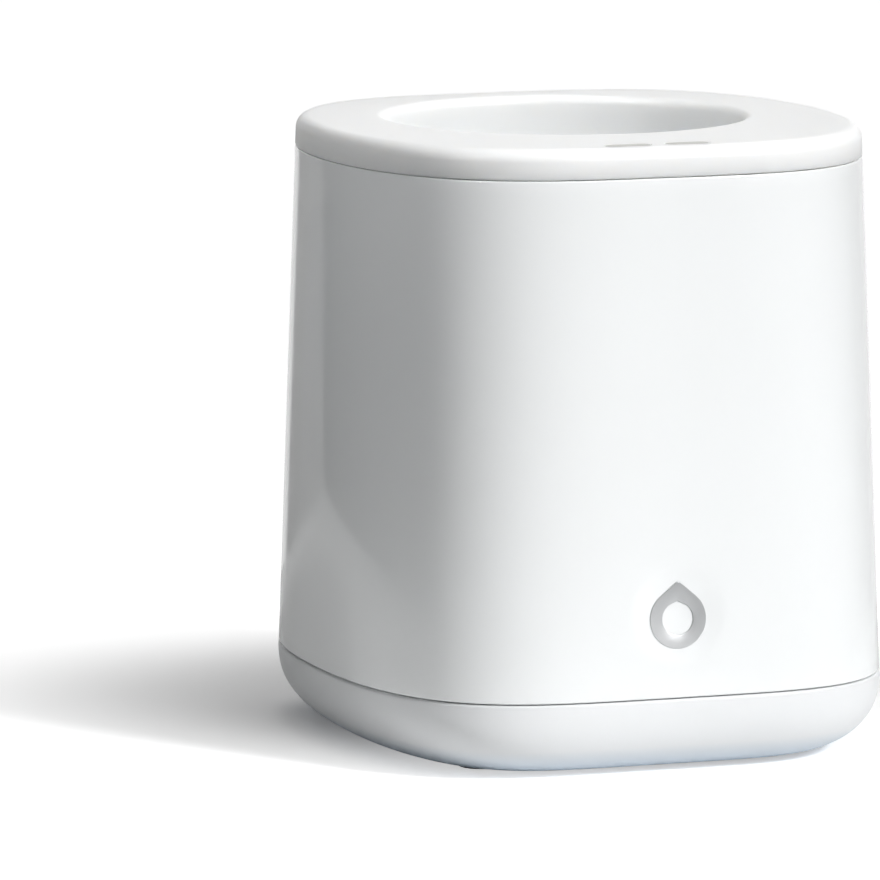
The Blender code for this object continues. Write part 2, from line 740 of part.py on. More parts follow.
def make_heater():
    centre = (0.0, WELL_Y)
    gasket_top = SLEEVE_BOTTOM_Z - FIT_GAP
    gasket_low = gasket_top - GASKET_THICKNESS
    gasket = [
        (SEAT_INNER_RADIUS, gasket_low),
        (HEATER_RIM_RADIUS, gasket_low),
        (HEATER_RIM_RADIUS, gasket_top),
        (SEAT_INNER_RADIUS, gasket_top),
    ]
    turned("chamber_gasket", gasket, "silicone", centre)
    plate_top = gasket_low - FIT_GAP
    plate_low = plate_top - HEATER_PLATE_THICKNESS
    dish = 1.0
    plate = [
        (34.0, plate_low - dish),
        (36.0, plate_low),
        (HEATER_RIM_RADIUS, plate_low),
        (HEATER_RIM_RADIUS, plate_top),
        (36.5, plate_top),
        (34.5, plate_top - dish),
    ]
    turned("heater_plate", plate, "cast_aluminium", centre, ring=False)
    clamp_top = plate_low - FIT_GAP
    clamp_low = clamp_top - CLAMP_THICKNESS
    ring = [
        (SEAT_INNER_RADIUS, clamp_low),
        (FLANGE_RADIUS, clamp_low),
        (FLANGE_RADIUS, clamp_top),
        (SEAT_INNER_RADIUS, clamp_top),
    ]
    clamp = turned("clamp_ring", ring, "zinc_steel", centre)
    bolt_holes(clamp, clamp_low, clamp_top)
    cover_top = clamp_low - FIT_GAP
    make_heater_cover(centre, cover_top)
    for index, axis in enumerate(clamp_bolt_axes()):
        head_z = cover_top - COVER_THICKNESS - FIT_GAP - SCREW_HEAD_HEIGHT
        screw("clamp_screw_" + str(index + 1), axis, head_z, flange_tip_z())
    element_z = plate_low - dish - FIT_GAP - ELEMENT_RADIUS
    make_element(centre, element_z)
    make_sensors(plate_low - dish, cover_top)
    return element_z, cover_top - COVER_DEPTH


def flange_tip_z():
    return SLEEVE_BOTTOM_Z + FLANGE_THICKNESS + 4.0


def bolt_holes(target, low, high):
    tools = []
    for axis in clamp_bolt_axes():
        tools.append(disc("bolt_hole", SCREW_SHANK_RADIUS + FIT_GAP, low - 1.0, high + 1.0, None, axis, 12))
    combine(target, "DIFFERENCE", tools)


def make_heater_cover(centre, top):
    """Steel cup under the heater, hung from the same four screws."""
    floor_z = top - COVER_DEPTH
    profile = [
        (36.5, floor_z),
        (38.5, floor_z + 2.0),
        (40.5, top - COVER_THICKNESS),
        (FLANGE_RADIUS, top - COVER_THICKNESS),
        (FLANGE_RADIUS, top),
        (39.5, top),
        (37.5, floor_z + 2.0 + COVER_THICKNESS),
        (35.8, floor_z + COVER_THICKNESS),
    ]
    cover = turned("heater_cover", profile, "zinc_steel", centre, ring=False)
    tools = []
    for axis in clamp_bolt_axes():
        tools.append(disc("bolt_hole", SCREW_SHANK_RADIUS + FIT_GAP, top - 4.0, top + 2.0, None, axis, 12))
    for axis in ((-LEAD_HOLE_X, LEAD_HOLE_Y), (LEAD_HOLE_X, LEAD_HOLE_Y), SENSOR_HOLE):
        tools.append(disc("lead_hole", 2.6, floor_z - 1.0, floor_z + 3.0, None, axis, 14))
    combine(cover, "DIFFERENCE", tools)


def make_element(centre, z):
    """Open ring of heater tube with its two ends at the front."""
    gap_half = math.asin(ELEMENT_END_X / ELEMENT_RING_RADIUS)
    first = -math.pi / 2 + gap_half
    sweep = 2.0 * math.pi - 2.0 * gap_half
    steps = 30
    sides = 10
    loops = []
    for step in range(steps + 1):
        turn = first + sweep * step / steps
        loops.append(ring_section(centre, turn, z, sides))
    return loft("heating_element", loops, "element_steel")


def ring_section(centre, turn, z, sides):
    loop = []
    for side in range(sides):
        around = 2.0 * math.pi * (side + 0.5) / sides
        radius = ELEMENT_RING_RADIUS + ELEMENT_RADIUS * math.cos(around)
        x = centre[0] + radius * math.cos(turn)
        y = centre[1] + radius * math.sin(turn)
        loop.append((x, y, z + ELEMENT_RADIUS * math.sin(around)))
    return loop


def make_sensors(plate_low, cover_top):
    """Cut-out and sensor held up against the plate by a strap on the cover's floor."""
    top = plate_low - FIT_GAP
    cover_floor = cover_top - COVER_DEPTH + COVER_THICKNESS
    cutout = [(5.0, top - 6.0), (8.0, top - 5.6), (8.0, top - 1.2), (9.2, top - 1.2), (9.2, top)]
    turned("thermal_cutout", cutout, "ceramic_white", (0.0, WELL_Y), 24, ring=False)
    sensor_axis = (0.0, SENSOR_Y)
    disc("temperature_sensor", 2.6, top - 6.0, top, "zinc_steel", sensor_axis, 16)
    strap_top = top - 6.0 - FIT_GAP
    strap_low = cover_floor + FIT_GAP
    outline = [
        (WELL_Y - 17.0, strap_low),
        (WELL_Y - 9.0, strap_low),
        (WELL_Y - 7.0, strap_top - 0.9),
        (WELL_Y + 17.0, strap_top - 0.9),
        (WELL_Y + 19.0, strap_low),
        (WELL_Y + 22.0, strap_low),
        (WELL_Y + 22.0, strap_low + 0.9),
        (WELL_Y + 19.8, strap_low + 0.9),
        (WELL_Y + 17.8, strap_top),
        (WELL_Y - 7.8, strap_top),
        (WELL_Y - 9.8, strap_low + 0.9),
        (WELL_Y - 17.0, strap_low + 0.9),
    ]
    loops = [[(x, y, z) for y, z in outline] for x in (-4.0, 4.0)]
    loft("sensor_strap", loops, "zinc_steel")


# ---------------------------------------------------------------- electronics


def power_board_axes():
    half_x = POWER_BOARD_SIZE[0] / 2 - 4.0
    half_y = POWER_BOARD_SIZE[1] / 2 - 4.0
    return [(sx * half_x, POWER_BOARD_Y + sy * half_y) for sx in (-1, 1) for sy in (-1, 1)]


def make_power_board():
    top = POWER_BOARD_Z + BOARD_THICKNESS
    centre = (0.0, POWER_BOARD_Y, POWER_BOARD_Z + BOARD_THICKNESS / 2)
    board = centred_box("power_board", centre, (*POWER_BOARD_SIZE, BOARD_THICKNESS), "board_green")
    holes = [disc("hole", 1.6, 8.0, 18.0, None, axis, 12) for axis in power_board_axes()]
    combine(board, "DIFFERENCE", holes)
    for index, axis in enumerate(power_board_axes()):
        head_z = top + FIT_GAP + SCREW_HEAD_HEIGHT
        name = "board_screw_" + str(index + 1)
        screw(name, axis, head_z, 6.0, SMALL_SCREW_HEAD_RADIUS, SMALL_SCREW_SHANK_RADIUS)
    seat = top + FIT_GAP
    box("relay", (-17.0, -21.0, seat), (-2.0, -2.0, seat + 14.0), "relay_blue")
    box("transformer_core", (6.0, -20.0, seat), (22.0, -6.0, seat + 11.0), "ferrite_core")
    box("terminal_block", (-16.0, 10.0, seat), (4.0, 18.0, seat + TERMINAL_HEIGHT), "terminal_green")
    disc("capacitor", 4.0, seat, seat + 12.0, "capacitor_sleeve", (15.0, 8.0), 24)
    y_disc("fuse", 2.6, -4.0, 14.0, seat + 2.6, "ceramic_white", x=24.0, segments=16)
    return seat


def make_control_board():
    top = CONTROL_BOARD_Z + BOARD_THICKNESS
    board = box(
        "control_board",
        (-26.0, -58.2, CONTROL_BOARD_Z),
        (26.0, -39.5, top),
        "board_green",
    )
    holes = [disc("hole", 1.5, CONTROL_BOARD_Z - 2, top + 2, None, axis, 12) for axis in control_post_axes()]
    combine(board, "DIFFERENCE", holes)
    for index, axis in enumerate(control_post_axes()):
        head_z = CONTROL_BOARD_Z - FIT_GAP - SCREW_HEAD_HEIGHT
        tip_z = CONTROL_BOARD_Z + 7.0
        name = "control_screw_" + str(index + 1)
        screw(name, axis, head_z, tip_z, SMALL_SCREW_HEAD_RADIUS, SMALL_SCREW_SHANK_RADIUS)
    for key in KEY_CENTRES:
        make_key(key, top)
    led_x = (KEY_CENTRES["power"] + KEY_CENTRES["timer"]) / 2 - 1.0
    profile = [(1.5, top + FIT_GAP), (1.5, top + 3.0), (1.2, top + 4.0), (0.6, top + 4.5)]
    turned("indicator_led", profile, "led_lens", (led_x, SWITCH_Y + 7.0), 16, ring=False)


def make_key(key, board_top):
    """Tact switch on the board, its plunger, and the key that presses it."""
    x = KEY_CENTRES[key]
    seat = board_top + FIT_GAP
    switch_top = seat + SWITCH_HEIGHT
    axis = (x, SWITCH_Y)
    middle = (x, SWITCH_Y, (seat + switch_top) / 2)
    body = centred_box(key + "_switch", middle, (SWITCH_SIZE, SWITCH_SIZE, SWITCH_HEIGHT), "black_plastic")
    bore = disc("bore", PLUNGER_RADIUS + 0.4, seat + SWITCH_FLOOR, switch_top + 2.0, None, axis, 16)
    combine(body, "DIFFERENCE", [bore])
    plunger_low = seat + SWITCH_FLOOR + KEY_TRAVEL + FIT_GAP
    plunger_top = switch_top + 0.9
    disc(key + "_plunger", PLUNGER_RADIUS, plunger_low, plunger_top, "ceramic_white", axis, 16)
    flange_top = DECK_TOP_Z - WALL - FIT_GAP
    flange_low = flange_top - KEY_FLANGE_THICKNESS
    length = KEY_LENGTHS[key]
    flange_length = length + 2 * KEY_FLANGE_OVERHANG
    centre = (x, KEY_Y)
    origin = (x, KEY_Y, flange_low)
    loops = [
        pill(flange_length, KEY_FLANGE_DEPTH, flange_low, (x, KEY_FLANGE_Y)),
        pill(flange_length, KEY_FLANGE_DEPTH, flange_top, (x, KEY_FLANGE_Y)),
        pill(length, KEY_DEPTH, flange_top, centre),
        pill(length, KEY_DEPTH, DECK_TOP_Z - 0.3, centre),
        pill(length - 0.6, KEY_DEPTH - 0.6, DECK_TOP_Z, centre),
    ]
    cap = loft(key + "_key", loops, "taupe_key", origin=origin)
    stem_low = plunger_top + FIT_GAP
    stem_axis = (x, SWITCH_Y - 0.4)
    stem = disc(key + "_stem_tool", KEY_STEM_RADIUS, stem_low, flange_low + 0.5, None, stem_axis, 14)
    combine_one(cap, "UNION", stem)


def make_wiring(board_seat, element_z, cover_floor):
    """Inner leads, each ending just short of the part it joins."""
    block_top = board_seat + TERMINAL_HEIGHT + FIT_GAP
    ends = {"live": (-1, -12.5, "wire_sleeve_red"), "neutral": (1, -5.5, "wire_sleeve_white")}
    for name, (side, terminal_x, sleeve) in ends.items():
        hole_x = side * LEAD_HOLE_X
        points = [
            (side * 8.4, LEAD_HOLE_Y + 1.4, element_z),
            (side * 6.7, LEAD_HOLE_Y + 0.7, element_z - 0.5),
            (hole_x, LEAD_HOLE_Y + 0.3, element_z - 2.4),
            (hole_x, LEAD_HOLE_Y, cover_floor + 2.5),
            (hole_x, LEAD_HOLE_Y, cover_floor - 0.6),
            ((hole_x + terminal_x) / 2, -8.0, LEAD_RUN_Z),
            (terminal_x, 3.0, LEAD_RUN_Z),
            (terminal_x, 12.0, LEAD_RUN_Z - 1.6),
            (terminal_x, 14.0, block_top + 3.0),
            (terminal_x, 14.0, block_top + 0.3),
        ]
        tube("heater_lead_" + name, points, 1.1, sleeve)
    sensor_points = [
        (0.0, SENSOR_Y + 3.1, element_z),
        (3.0, SENSOR_Y + 5.2, element_z - 1.2),
        (9.0, SENSOR_Y + 3.0, element_z - 5.0),
        (SENSOR_HOLE[0], SENSOR_HOLE[1] + 0.6, cover_floor + 1.2),
        (SENSOR_HOLE[0], SENSOR_HOLE[1], cover_floor - 3.0),
        (SENSOR_HOLE[0], 17.0, board_seat + 7.0),
        (SENSOR_HOLE[0], 17.0, board_seat + 0.2),
    ]
    tube("sensor_lead", sensor_points, 0.9, "black_plastic")


def make_control_cable(board_seat):
    """Flat cable from the control board down inside the front wall."""
    thickness = 1.0
    path = [
        (-49.0, CONTROL_BOARD_Z - FIT_GAP),
        (-49.0, CONTROL_BOARD_Z - 6.0),
        (-52.0, CONTROL_BOARD_Z - 12.0),
        (-52.0, 40.0),
        (-48.0, 30.0),
        (-34.0, 24.0),
        (-27.0, 19.0),
        (-23.4, board_seat + 1.0),
    ]
    outline = path + [(y - thickness, z) for y, z in reversed(path)]
    loops = [[(x, y, z) for y, z in outline] for x in (-6.0, 4.0)]
    loft("control_cable", loops, "ribbon_grey")


# ---------------------------------------------------------------- basket


def make_basket():
    """Lift-out cup with a flared rim, two finger openings and a drained floor."""
    centre = (0.0, WELL_Y)
    floor_top = BASKET_FLOOR_Z + BASKET_FLOOR_THICKNESS
    inner = BASKET_RADIUS - BASKET_WALL
    profile = [
        (BASKET_RADIUS - 3.0, BASKET_FLOOR_Z),
        (BASKET_RADIUS - 0.8, BASKET_FLOOR_Z + 1.2),
        (BASKET_RADIUS, BASKET_FLOOR_Z + 4.0),
        (BASKET_RADIUS, BASKET_RIM_Z - 3.0),
        (BASKET_RIM_RADIUS, BASKET_RIM_Z - 1.6),
        (BASKET_RIM_RADIUS, BASKET_RIM_Z - 0.6),
        (BASKET_RIM_RADIUS - 0.6, BASKET_RIM_Z),
        (BASKET_RIM_RADIUS - 1.9, BASKET_RIM_Z),
        (inner, BASKET_RIM_Z - 2.4),
        (inner, floor_top + 3.0),
        (inner - 2.4, floor_top),
    ]
    basket = turned("bottle_basket", profile, "frosted_basket", centre, ring=False)
    for step in range(3):
        turn = math.radians(90.0 + 120.0 * step)
        axis = (BASKET_NUB_RING * math.cos(turn), WELL_Y + BASKET_NUB_RING * math.sin(turn))
        low = BASKET_FLOOR_Z - 2.0
        nub = disc("basket_nub_" + str(step), BASKET_NUB_RADIUS, low, floor_top - 0.6, None, axis, 14)
        combine_one(basket, "UNION", nub)
    low = BASKET_FLOOR_Z - 4.0
    high = floor_top + 4.0
    tools = [disc("drain", CENTRE_DRAIN_RADIUS, low, high, None, centre, 20)]
    for step in range(6):
        turn = math.radians(60.0 * step + 30.0)
        axis = (DRAIN_RING * math.cos(turn), WELL_Y + DRAIN_RING * math.sin(turn))
        tools.append(disc("drain", RING_DRAIN_RADIUS, low, high, None, axis, 16))
    tools.append(finger_openings())
    combine(basket, "DIFFERENCE", tools)


def finger_openings():
    """Bar with round ends that pierces both sides of the basket below its rim."""
    loops = []
    for x in (-60.0, 60.0):
        flat = pill(FINGER_LENGTH, FINGER_DEPTH, 0.0, (WELL_Y, BASKET_RIM_Z - FINGER_DROP))
        loops.append([(x, across, up) for across, up, _ in flat])
    return loft("finger_openings", loops, None)


def main():
    clear_scene()
    make_outer_shell()
    make_top_deck()
    make_base_pan()
    make_badge()
    make_feet_and_screws()
    make_gland()
    element_z, cover_floor = make_heater()
    board_seat = make_power_board()
    make_control_board()
    make_wiring(board_seat, element_z, cover_floor)
    make_control_cable(board_seat)
    make_basket()


main()
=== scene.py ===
import json
import math

import bmesh
import bpy
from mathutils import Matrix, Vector


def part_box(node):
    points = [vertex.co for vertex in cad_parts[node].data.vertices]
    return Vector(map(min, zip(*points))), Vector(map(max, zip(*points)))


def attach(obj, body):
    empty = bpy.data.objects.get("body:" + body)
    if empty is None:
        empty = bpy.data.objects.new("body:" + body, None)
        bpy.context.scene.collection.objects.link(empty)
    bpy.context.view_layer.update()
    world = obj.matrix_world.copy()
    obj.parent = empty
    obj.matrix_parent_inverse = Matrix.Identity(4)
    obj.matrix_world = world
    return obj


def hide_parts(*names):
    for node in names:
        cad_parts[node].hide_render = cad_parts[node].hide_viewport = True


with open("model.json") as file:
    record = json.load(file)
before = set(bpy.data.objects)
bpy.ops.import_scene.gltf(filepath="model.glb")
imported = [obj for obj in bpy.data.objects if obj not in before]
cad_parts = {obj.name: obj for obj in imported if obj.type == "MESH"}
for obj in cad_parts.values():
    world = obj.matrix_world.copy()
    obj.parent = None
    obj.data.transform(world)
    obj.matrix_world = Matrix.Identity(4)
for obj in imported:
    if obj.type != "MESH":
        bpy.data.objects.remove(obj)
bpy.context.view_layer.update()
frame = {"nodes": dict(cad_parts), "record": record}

MM = 0.001
FINISH_PREFIX = "finish_"
SHARP_ANGLE = 32.0

# Shapes, in millimetres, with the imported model's own values. A size is the outline's half width and half
# depth, then the exponents of its superellipse across and along.
BASE_SEAM_Z = 18.5
TOP_SEAM_Z = 137.0
DECK_TOP_Z = 144.1
BASE_SIZE = (65.0, 68.7, 4.15, 2.42)
TOP_SIZE = (63.4, 63.7, 3.42, 2.07)
WALL = 2.4
FIT_GAP = 0.3
LIP_WALL = 1.8
LIP_HEIGHT = 4.3
SKIRT_SLOPE = (0.8, 1.8)
BASE_SEAM_HALF = 0.14
TOP_SEAM_HALF = 0.09
EDGE_ROUND = 0.35
DECK_EDGE_RADIUS = 3.0
DECK_EDGE_MARGIN = 0.25

# Spacing of the mesh around and up the casing, finer at the dimple.
OUTLINE_STEP = 2.0
WALL_STEP = 3.0
WALL_LAST_STEP = 0.5
WALL_INSIDE_Z = (100.0, 60.0)
FINE_STEP = 0.6
FINE_HALF_WIDTH = 14.5
FINE_MARGIN = 3.2
OUTLINE_MIDDLE_Z = 77.0

PAN_BOTTOM_Z = 1.0
PAN_FLOOR_THICKNESS = 2.2
PAN_CURVE_TOP_Z = 17.2
PAN_EDGE_ROUND = 0.6
PAN_TUCK = 14.2
PAN_TUCK_DEPTH_RATIO = 0.95
PAN_TUCK_EXPONENT = 1.54
PAN_DROP_EXPONENT = 2.4
PAN_BOTTOM_EXPONENTS = (5.2, 2.0)
CUT_BELOW_Z = -1.0

VENT_COUNT = 5
VENT_LENGTH = 26.0
VENT_WIDTH = 2.2
VENT_FIRST_Y = 10.0
VENT_PITCH = 5.0
VENT_CUT_Z = 6.0

WELL_Y = 8.4
WELL_RADIUS = 41.7
WELL_LIP_RADIUS = 2.2
WELL_LIP_MARGIN = 0.4
SLEEVE_WALL = 2.2
SLEEVE_BOTTOM_Z = 50.0
FLANGE_RADIUS = 50.0
FLANGE_THICKNESS = 3.0

BASKET_RADIUS = 39.6
BASKET_WALL = 1.8
BASKET_CORNER = 4.0
BASKET_INNER_CORNER = 3.0
BASKET_RIM_RADIUS = 41.2
BASKET_RIM_Z = 128.0
BASKET_RIM_ROUND = 0.8
BASKET_FLOOR_Z = 51.0
BASKET_FLOOR_THICKNESS = 2.0
DRAIN_RADIUS = 4.0
SIDE_DRAIN_COUNT = 6
SIDE_DRAIN_RADIUS = 3.0
SIDE_DRAIN_CIRCLE = 15.0
DRAIN_CUT_Z = (45.0, 60.0)
SLOT_LENGTH = 24.0
SLOT_HEIGHT = 9.0
SLOT_BELOW_RIM = 12.0
SLOT_CUT_X = (-60.0, 60.0)

# Each key's place across the deck and its length.
KEYS = {"power": (-8.9, 11.0), "timer": (5.3, 10.6)}
KEY_Y = -57.9
KEY_DEPTH = 4.4
KEY_ROUND = 0.35
KEY_CUT = (-6.0, 2.0)

DIMPLE_Z = 37.6
DIMPLE_RADIUS = 11.2
DIMPLE_DEPTH = 1.25
DIMPLE_SOFTNESS = 0.16
DIMPLE_MARGIN = 4.0
BADGE_HEIGHT = 15.6
BADGE_WIDTH = 13.6
BADGE_STROKE = 3.1
BADGE_TIP_STROKE = 1.55
BADGE_TIP_SLOPE = 1.4
BADGE_TIP_ROUND = 0.7
BADGE_INNER_TIP_ROUND = 0.3
BADGE_SUNK = 0.5
BADGE_RISE = 0.28
BADGE_ROUND = 0.2

FOOT_X = 37.0
FOOT_Y = 38.0
FOOT_RADIUS = 5.5
FOOT_FLAT_RADIUS = 4.9
FOOT_ROUND = 0.5
FOOT_HEIGHT = 1.9
FOOT_POCKET_DEPTH = 1.2
FEET = {"front_left": (-1, -1), "front_right": (1, -1), "rear_left": (-1, 1), "rear_right": (1, 1)}

GLAND_Z = 12.6
GLAND_SEAT_Y = 65.4
GLAND_SEAT_RADIUS = 5.5
GLAND_SEAT_CUT_Y = 75.0
GLAND_HOLE_RADIUS = 4.3
GLAND_HOLE_CUT_Y = 55.0
GLAND_HOLE_OVERLAP = 0.5
GLAND_BORE_RADIUS = 3.0
GLAND_NECK_RADIUS = 4.0
GLAND_INNER_Y = 59.5
# Radius of the gland's collar, and how far it stands out from the seat.
GLAND_COLLAR = [(GLAND_BORE_RADIUS, 1.9), (3.5, 2.25), (4.2, 2.3), (4.8, 2.0), (5.1, 1.5), (5.1, 0.0)]

# Looks. Colours are linear; texture depths are in metres.
SHELL_WHITE = (0.845, 0.86, 0.865)
DECK_WHITE = (0.930, 0.932, 0.905)
BASE_WHITE = (0.772, 0.784, 0.795)
# Painted shade on the base: a darker, cooler colour at its underside, faded out between these heights in
# millimetres, with a little drift.
BASE_PAINTED_SHADE = (0.60, 0.69, 0.79)
BASE_PAINTED_SHADE_Z = (1.0, 8.0)
BASE_PAINTED_SHADE_DRIFT = 0.04
# Painted shade on the emblem: its silver turns darker towards its upper right.
EMBLEM_SHADE_SLOPE = 0.55
EMBLEM_PAINTED_SHADE_STOPS = [(0.0, (0.74, 0.75, 0.76)), (0.35, (0.64, 0.65, 0.66)), (1.0, (0.50, 0.51, 0.52))]
BOARD_GREENS = {"Color1": (0.02, 0.16, 0.07), "Color2": (0.025, 0.20, 0.09), "Mortar": (0.05, 0.27, 0.12)}

# Plain moulded finishes: colour, lowest and highest roughness, texture scale and depth, colour drift.
MOULDED = {
    "taupe_key": ((0.55, 0.54, 0.52), (0.42, 0.55), 2200.0, 0.00002, 0.03),
    "frosted_basket": ((0.88, 0.90, 0.91), (0.30, 0.42), 1100.0, 0.00002, 0.012),
    "grey_rubber": ((0.10, 0.10, 0.11), (0.70, 0.88), 900.0, 0.00006, 0.08),
    "silicone": ((0.66, 0.63, 0.58), (0.50, 0.62), 700.0, 0.00004, 0.04),
    "black_plastic": ((0.02, 0.02, 0.022), (0.35, 0.50), 1300.0, 0.00003, 0.10),
    "relay_blue": ((0.03, 0.11, 0.36), (0.25, 0.38), 900.0, 0.00002, 0.06),
    "terminal_green": ((0.04, 0.28, 0.12), (0.35, 0.50), 900.0, 0.00003, 0.06),
    "capacitor_sleeve": ((0.03, 0.04, 0.10), (0.20, 0.34), 400.0, 0.00003, 0.08),
    "ferrite_core": ((0.06, 0.06, 0.065), (0.55, 0.75), 1100.0, 0.00006, 0.12),
    "ceramic_white": ((0.76, 0.73, 0.66), (0.30, 0.45), 1000.0, 0.00003, 0.03),
    "led_lens": ((0.80, 0.36, 0.06), (0.10, 0.18), 500.0, 0.00001, 0.04),
    "wire_sleeve_red": ((0.38, 0.025, 0.02), (0.35, 0.50), 800.0, 0.00003, 0.06),
    "wire_sleeve_white": ((0.72, 0.72, 0.69), (0.35, 0.50), 800.0, 0.00003, 0.03),
    "ribbon_grey": ((0.42, 0.43, 0.45), (0.40, 0.55), 700.0, 0.00004, 0.06),
}

# Metals: colour, lowest and highest roughness, streak scale and depth, and the squeeze along each axis.
METALS = {
    "cast_aluminium": ((0.70, 0.71, 0.72), (0.28, 0.42), 60.0, 0.00002, (1, 1, 1)),
    "zinc_steel": ((0.62, 0.62, 0.60), (0.24, 0.40), 90.0, 0.00002, (1, 6, 1)),
    "element_steel": ((0.30, 0.27, 0.24), (0.35, 0.55), 140.0, 0.00003, (1, 1, 4)),
}

# Studio, in metres. An angle is azimuth, 0 in front and positive to the right, or elevation, in degrees.
WHITE = (1.0, 1.0, 1.0, 1.0)
FLOOR_WHITE = (0.97, 0.97, 0.97)
FLOOR_HALF = 6.0
GLOW_BACK = 0.05
GLOW_STRETCH = 1.5
GLOW_START = 0.070
GLOW_END = 0.180
GLOW_LOW = 0.09
GLOW_HIGH = 0.6
SHEET_WHITE = (0.94, 0.945, 0.945)
SHEET_DROP = 0.0005
SHEET_CORNER = (-0.222, 0.395)
SHEET_TURN = -33.0
SHEET_SIDE = 0.65

CEILING_LEFT = 0.42
CEILING_RIGHT = 1.45
CEILING_EDGE = (46.0, 54.0)
CEILING_SPLIT = -20.0
CEILING_BLEND = 30.0
RIGHT_BANK = 0.03
RIGHT_BANK_LOW_EDGE = (17.0, 23.0)
RIGHT_BANK_HIGH_EDGE = (53.0, 47.0)
RIGHT_BANK_SIDE = (52.0, 68.0)
WALL_HEIGHT_EDGE = (22.0, 18.0)
WALL_RIGHT = 0.95
WALL_RIGHT_SIDE = (95.0, 160.0)
WALL_LEFT = 0.33
WALL_LEFT_SIDE = -158.3
WALL_LEFT_BLEND = 0.4

# Fading spots: strength, direction, beam radius, size of the source and the point it's aimed at.
LIGHT_DISTANCE = 1.5
WELL_FILL_FROM = (-66.0, 47.0)
WELL_FILL_CENTRE = (0.018, 0.022, 0.140)
LIGHTS = {
    "key": (1.16, (37.0, 31.0), 0.33, 0.18, (-0.073, -0.053, 0.07)),
    "well_fill": (2.1, WELL_FILL_FROM, 0.052, 0.1, WELL_FILL_CENTRE),
    "well_spot": (0.15, WELL_FILL_FROM, 0.058, 0.02, WELL_FILL_CENTRE),
    "low_fill": (0.09, (-60.0, 14.0), 0.075, 0.04, (-0.052, -0.050, 0.024)),
}
LIGHTS_WITHOUT_HIGHLIGHT = ("low_fill",)

CAMERA_AZIMUTH = -20.12
CAMERA_ELEVATION = 8.27
CAMERA_DISTANCE = 2.0605
CAMERA_LENS = 360.7
CAMERA_SENSOR = 36.0
CAMERA_FAR = 50.0
CAMERA_AIM_Z = 0.0677
CAMERA_PAN = 0.0319
CAMERA_TILT = 0.00065


# ---------------------------------------------------------------- node materials


class Surface:
    """Principled material built node by node."""

    def __init__(self, name):
        self.material = bpy.data.materials.new(FINISH_PREFIX + name)
        self.material.use_nodes = True
        self.tree = self.material.node_tree
        self.shader = self.tree.nodes["Principled BSDF"]

    def set(self, **values):
        for key, value in values.items():
            self.shader.inputs[key.replace("_", " ")].default_value = value
        return self

    def node(self, kind, **values):
        """New node; a value goes to the node's own setting of that name, or else to its input."""
        made = self.tree.nodes.new(kind)
        for key, value in values.items():
            if hasattr(made, key):
                setattr(made, key, value)
            else:
                made.inputs[key.replace("_", " ")].default_value = value
        return made

    def link(self, source, target):
        self.tree.links.new(source, target)

    def coordinates(self):
        return self.node("ShaderNodeTexCoord").outputs["Object"]

    def axes(self):
        """Object coordinates as separate X, Y and Z."""
        made = self.node("ShaderNodeSeparateXYZ")
        self.link(self.coordinates(), made.inputs["Vector"])
        return made.outputs

    def mapped(self, source=None, **values):
        """Coordinates that are scaled, turned, then moved."""
        made = self.node("ShaderNodeMapping", **values)
        self.link(source or self.coordinates(), made.inputs["Vector"])
        return made.outputs["Vector"]

    def noise(self, scale, detail=2.0, roughness=0.5, source=None):
        made = self.node("ShaderNodeTexNoise", Scale=scale, Detail=detail, Roughness=roughness)
        self.link(source or self.coordinates(), made.inputs["Vector"])
        return made.outputs["Fac"]

    def ramp(self, source, stops):
        made = self.node("ShaderNodeValToRGB")
        ramp = made.color_ramp
        while len(ramp.elements) < len(stops):
            ramp.elements.new(0.5)
        for element, (place, colour) in zip(ramp.elements, stops):
            element.position = place
            element.color = (*colour, 1.0)
        self.link(source, made.inputs["Fac"])
        return made.outputs["Color"]

    def spread(self, source, low, high, start=0.0, end=1.0, **values):
        """Takes the range from start to end to the range from low to high."""
        made = self.node("ShaderNodeMapRange", **values)
        for name, value in (("From Min", start), ("From Max", end), ("To Min", low), ("To Max", high)):
            made.inputs[name].default_value = value
        self.link(source, made.inputs["Value"])
        return made.outputs["Result"]

    def scaled_sum(self, source, factor, other):
        """The source times the factor, plus the other value."""
        made = self.node("ShaderNodeMath", operation="MULTIPLY_ADD")
        self.link(source, made.inputs[0])
        made.inputs[1].default_value = factor
        self.link(other, made.inputs[2])
        return made.outputs["Value"]

    def bump(self, height, distance):
        made = self.node("ShaderNodeBump", Strength=1.0, Distance=distance)
        self.link(height, made.inputs["Height"])
        self.link(made.outputs["Normal"], self.shader.inputs["Normal"])

    def colour(self, source):
        self.link(source, self.shader.inputs["Base Color"])

    def rough(self, source):
        self.link(source, self.shader.inputs["Roughness"])

    def drift(self, colour, low, high, scale=18.0, detail=3.0):
        """Faint, broad changes of the base colour."""
        noise = self.noise(scale, detail)
        self.colour(self.ramp(noise, [(0.3, shade(colour, low)), (0.7, shade(colour, high))]))

    def sheen(self, low, high, scale=60.0, detail=4.0):
        """Roughness that wanders between two values."""
        self.rough(self.spread(self.noise(scale, detail), low, high))

    def grain(self, scale, depth, detail=3.0, roughness=0.6):
        """Fine surface texture."""
        self.bump(self.noise(scale, detail, roughness), depth)


def shade(colour, factor):
    return tuple(channel * factor for channel in colour)


def moulded(name, colour, rough, grain_scale, grain_depth, drift):
    """Moulded plastic or rubber: faint colour drift, uneven sheen, fine texture."""
    surface = Surface(name)
    surface.drift(colour, 1 - drift, 1 + drift)
    surface.sheen(*rough)
    surface.grain(grain_scale, grain_depth)
    return surface.material


def metal(name, colour, rough, grain_scale, grain_depth, squeeze):
    """Rolled or brushed metal with streaks."""
    surface = Surface(name).set(Metallic=1.0)
    streaks = surface.noise(grain_scale, 4.0, 0.6, surface.mapped(Scale=squeeze))
    surface.colour(surface.ramp(streaks, [(0.25, shade(colour, 0.88)), (0.75, shade(colour, 1.06))]))
    surface.rough(surface.spread(streaks, *rough))
    surface.bump(streaks, grain_depth)
    return surface.material


